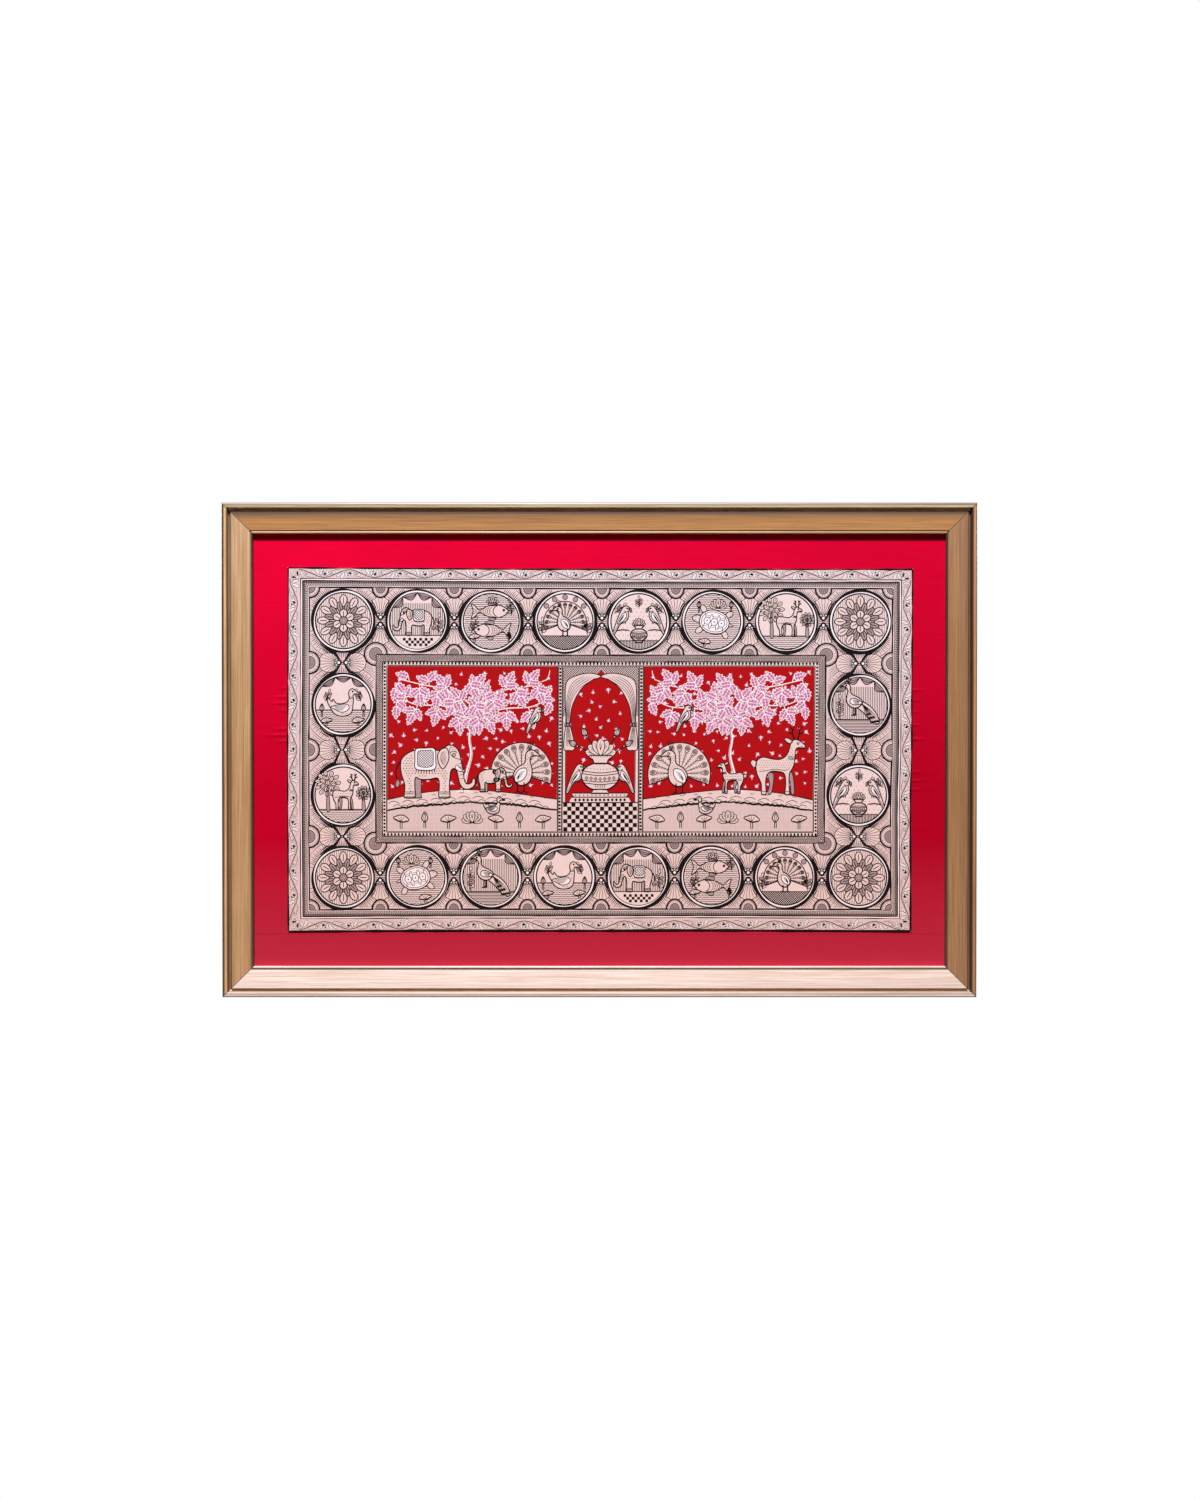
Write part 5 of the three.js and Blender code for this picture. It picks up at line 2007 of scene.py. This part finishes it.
# Each tone: its distance from the rail's outer edge in mm, and what it multiplies the colour by. Tones below 1 are
# painted shade, tones above 1 painted highlights.
RAIL_LIGHT_AND_SHADE = {
    "top": (
        (0, 0.9), (0.3, 0.1), (1.4, 0.2), (2.6, (0.36, 0.5, 0.8)), (4.0, (0.7, 1.1, 2.6)), (5.4, (1.15, 2.2, 7.0)),
        (6.4, (1.3, 2.6, 7.0)), (8.2, (1.3, 2.6, 7.0)), (8.9, (1.1, 1.5, 2.6)), (9.8, 1.0), (11.8, 0.75),
        (12.6, 0.4), (13.6, 0.1), (14.6, 0.12), (15.6, 0.22), (17, 0.48), (19, 0.63), (21, 0.75), (24, 0.92),
        (28, 1.0), (39.4, 1.0), (40.2, 0.45), (41.4, 0.45), (42.4, (0.75, 1.0, 1.6)), (44, (0.9, 1.25, 2.0))),
    "bottom": (
        (0, 0.9), (0.3, 0.4), (1.2, (0.6, 0.55, 0.45)), (2.6, 1.25), (3.8, 1.3), (4.8, 0.6), (6.0, 0.42),
        (7.0, (0.6, 0.55, 0.5)), (8.4, (0.8, 0.7, 0.55)), (10.6, (0.75, 0.65, 0.5)), (11.2, 0.85), (12.6, 0.88),
        (18, 0.93), (24, 1.0), (39.8, 1.0), (40.6, 0.35), (42.0, (0.25, 0.2, 0.12)), (42.8, 0.95), (44, 1.05)),
    "left": (
        (0, 0.9), (0.3, 0.15), (3.0, 0.15), (4.0, 0.75), (5.4, 1.45), (6.8, 1.15), (8.0, 0.6), (9.2, 0.42),
        (12.2, 0.38), (13.4, 0.2), (14.1, 0.8), (18, 0.97), (24, 1.0), (39.2, 1.0), (40.0, 0.6), (41.2, 0.25),
        (42.6, 0.05), (44, 0.1)),
    "right": (
        (0, 0.9), (0.3, 0.6), (1.8, 0.85), (4.0, 1.45), (5.4, 1.0), (6.2, 0.22), (9.2, 0.14), (9.9, 0.5),
        (11.2, 0.45), (12.2, 0.4), (13.4, 0.62), (18, 0.82), (26, 1.0), (40.2, 0.95), (41.0, 0.55), (41.8, 0.12),
        (44, 0.1)),
}
GRAIN_STRETCH = 0.014
FRONT_STARTS, FRONT_IS_FULL = -6, -9
MITRE_LINE, MITRE_SOFTNESS, MITRE_TONE = 0.3, 1.0, 0.3
half_width, half_height = (cad_box[1].x - cad_box[0].x) / 2, (cad_box[1].z - cad_box[0].z) / 2


print({side: len(tones) for side, tones in RAIL_LIGHT_AND_SHADE.items()}, "tones on the rails")

# %% [markdown]
# One material for each rail follows the grain's direction, its own list of painted light and shade, and a dark line on
# the mitre.
# Each rail also has its own colours, painted lighter or darker by how the light falls on that rail.

# %% Materials of the frame and the board
def lacquered_wood(side, light, dark, painted_light_on_top=(1.0, 1.0, 1.0)):
    """Wood grain under champagne lacquer, with painted light and shade across the rail. painted_light_on_top multiplies
    the colour near the top of the side rails, as painted light.
    """
    made, tree, where, shader = new_material(f"champagne lacquered wood, {side} rail")
    lengthwise, crosswise = (0, 2) if side in ("top", "bottom") else (2, 0)
    along = stretched(tree, where, [GRAIN_STRETCH if axis == lengthwise else 1.0 for axis in range(3)])
    grain = noise(tree, along, 1.5, 4.0, 0.7)
    streaks = calc(tree, "MULTIPLY_ADD", noise(tree, along, 9.0, 2.0), 0.3, grain)
    wood = blend(tree, ranged(tree, streaks, 0.48, 0.82), linear(dark), linear(light))
    axes = add(tree, "ShaderNodeSeparateXYZ", {"Vector": where}).outputs
    from_edge = {}
    for axis, middle, half_size in ((0, middle_x, half_width), (2, middle_z, half_height)):
        off = calc(tree, "ABSOLUTE", calc(tree, "SUBTRACT", axes[axis], middle))
        from_edge[axis] = calc(tree, "SUBTRACT", half_size, off)
    # The ramp paints shade into the grooves and highlights onto the lips and the bead, as the light falls on this rail.
    ramp = add(tree, "ShaderNodeValToRGB", {"Fac": ranged(tree, from_edge[crosswise], 0.0, RAIL_WIDTH * MM)})
    stops = ramp.color_ramp.elements
    while len(stops) < len(RAIL_LIGHT_AND_SHADE[side]):
        stops.new(0.5)
    for stop, (place, shade) in zip(stops, RAIL_LIGHT_AND_SHADE[side]):
        stop.position, stop.color = place / RAIL_WIDTH, (*np.broadcast_to(np.array(shade) / BRIGHTEST_TONE, 3), 1)
    on_front = ranged(tree, axes["Y"], FRONT_STARTS * MM, FRONT_IS_FULL * MM)
    painted_light_and_shade = blend(tree, on_front, (*[1 / BRIGHTEST_TONE] * 3, 1), ramp.outputs["Color"])
    past_mitre = calc(tree, "SUBTRACT", from_edge[lengthwise], from_edge[crosswise])
    mitre = ranged(tree, past_mitre, MITRE_LINE * MM, (MITRE_LINE + MITRE_SOFTNESS) * MM,
                   MITRE_TONE * BRIGHTEST_TONE, BRIGHTEST_TONE)
    # Painted light: the side rails are lighter near their tops.
    pale = blend(tree, between(tree, where, "Z", -50, 300), (1.0, 1.0, 1.0, 1.0), (*painted_light_on_top, 1.0))
    colour = tinted(tree, tinted(tree, wood, pale), dimmed(tree, painted_light_and_shade, mitre))
    cover(tree, shader, colour, ranged(tree, grain, 0.0, 1.0, 0.34, 0.44), grain, 0.5, 0.06)
    for socket, value in (("Metallic", 0.1), ("IOR", 1.9)):
        shader.inputs[socket].default_value = value
    return made


def hardboard():
    """Pressed wood fibre: brown, matt and finely speckled."""
    made, tree, where, shader = new_material("hardboard")
    fibre = noise(tree, where, 2.5, 6.0, 0.7)
    colour = blend(tree, fibre, linear("7B5A3C"), linear("A9845C"))
    cover(tree, shader, colour, ranged(tree, fibre, 0.0, 1.0, 0.75, 0.95), fibre, 0.4, 0.1)
    return made


# The four rails are one finish. Each rail's two colours are painted lighter or darker by how the light falls on it, so
# the lower rail is painted pale and shining and the right rail darker.
finishes = {
    "frame_top": lacquered_wood("top", "DB9D4C", "A26727"),
    "frame_bottom": lacquered_wood("bottom", "E3CEC0", "BDA089"),
    "frame_left": lacquered_wood("left", "CDA06C", "9E7244", (1.22, 1.4, 1.75)),
    "frame_right": lacquered_wood("right", "AC7C4E", "83582D", (1.12, 1.2, 1.45)),
    "backing_board": hardboard(),
}
for node_name, finish in finishes.items():
    for slot in frame["nodes"][node_name].material_slots:
        slot.material = finish
    print(node_name, "->", finish.name)

# %% [markdown]
# ## Floor, light and camera
# The picture hangs with its middle at eye height over a pale floor. One strong soft lamp stands high before it,
# about seven metres off, with a weak one a little lower beside it. They light the lower rail fully and leave the
# upper rail's shadow on the red cloth, as in the photo. The floor sends no light back up, which keeps that shadow
# dark. Two weak lamps light the back, and a dim pale surround fills the rest. The camera stands three metres off.

# %% Floor and lights
EYE_HEIGHT = 1.5
FLOOR_HALF_WIDTH, FLOOR_DEPTH = 4, 5
floor_height = middle_z - EYE_HEIGHT
floor_mesh = bpy.data.meshes.new("floor")
floor_outline = corners((-FLOOR_HALF_WIDTH, -FLOOR_DEPTH, FLOOR_HALF_WIDTH, 0))
floor_mesh.from_pydata([(x, y, floor_height) for x, y in floor_outline], [], [(0, 1, 2, 3)])
floor_paint, *_, floor_shader = new_material("pale matt floor paint")
floor_shader.inputs["Base Color"].default_value = linear("F4F2F0")
floor_shader.inputs["Roughness"].default_value = 0.9
floor_mesh.materials.append(floor_paint)
floor = linked("floor", floor_mesh)
floor.visible_diffuse = False


def aimed(made, place, target):
    """A lamp or camera put in its place and turned to a target."""
    made.location = place
    made.rotation_euler = (Vector(target) - Vector(place)).to_track_quat("-Z", "Y").to_euler()
    bpy.context.scene.collection.objects.link(made)
    return made


picture_middle = (middle_x, -PICTURE_FRONT * MM, middle_z)
# Each lamp: its name, its place from the middle of the frame's back and its size in metres, its watts, its colour.
LAMPS = (
    ("rear left lamp", (-2.4, 1.8, 0.9), 0.8, 60.0, "FFF8F4"),
    ("rear right lamp", (2.4, 1.8, 0.9), 0.8, 60.0, "FFF8F4"),
    ("high lamp", (-0.5, -4.3, 6.1), 1.2, 1070.0, "F8F5FB"),
    ("low lamp", (0.3, -5.0, 5.0), 0.85, 54.0, "FFF3EC"),
)
for name, (x, y, up_by), size, power, colour in LAMPS:
    lamp = bpy.data.lights.new(name, "AREA")
    lamp.shape, lamp.size, lamp.energy, lamp.color = "DISK", size, power, linear(colour)[:3]
    aimed(bpy.data.objects.new(name, lamp), (x, y, middle_z + up_by), picture_middle)

SURROUND_STRENGTH = 0.045
world = bpy.data.worlds.new("pale surround")
world.use_nodes = True
bpy.context.scene.world = world
sky = world.node_tree
sky.nodes.clear()
seen = add(sky, "ShaderNodeLightPath").outputs["Is Camera Ray"]
soft = add(sky, "ShaderNodeBackground", {"Color": linear("F3EEF0"), "Strength": SURROUND_STRENGTH})
white = add(sky, "ShaderNodeBackground", {"Color": (1.0, 1.0, 1.0, 1.0), "Strength": 1.0})
both = add(sky, "ShaderNodeMixShader", {0: seen, 1: soft.outputs[0], 2: white.outputs[0]})
add(sky, "ShaderNodeOutputWorld", {"Surface": both.outputs[0]})
print(len(LAMPS), "lamps")

# %% Camera
bpy.context.scene.view_settings.view_transform = "Standard"
DISTANCE = 3.0
ABOVE_MIDDLE = 0.04
PHOTO_HEIGHT = 1500
MM_PER_PIXEL = 1.4688
SHIFT_IN_PIXELS = (0.6, 0.1)
camera_data = bpy.data.cameras.new("camera")
camera_data.sensor_fit = "VERTICAL"
camera_data.sensor_height = camera_data.sensor_width = 36.0
camera_data.lens = camera_data.sensor_height * DISTANCE / (PHOTO_HEIGHT * MM_PER_PIXEL * MM)
camera_data.shift_x, camera_data.shift_y = (pixels / PHOTO_HEIGHT for pixels in SHIFT_IN_PIXELS)
camera = aimed(bpy.data.objects.new("camera", camera_data), (middle_x, -DISTANCE, middle_z + ABOVE_MIDDLE),
               (middle_x, 0, middle_z))
bpy.context.scene.camera = camera
print("lens", round(camera_data.lens, 2), "mm")
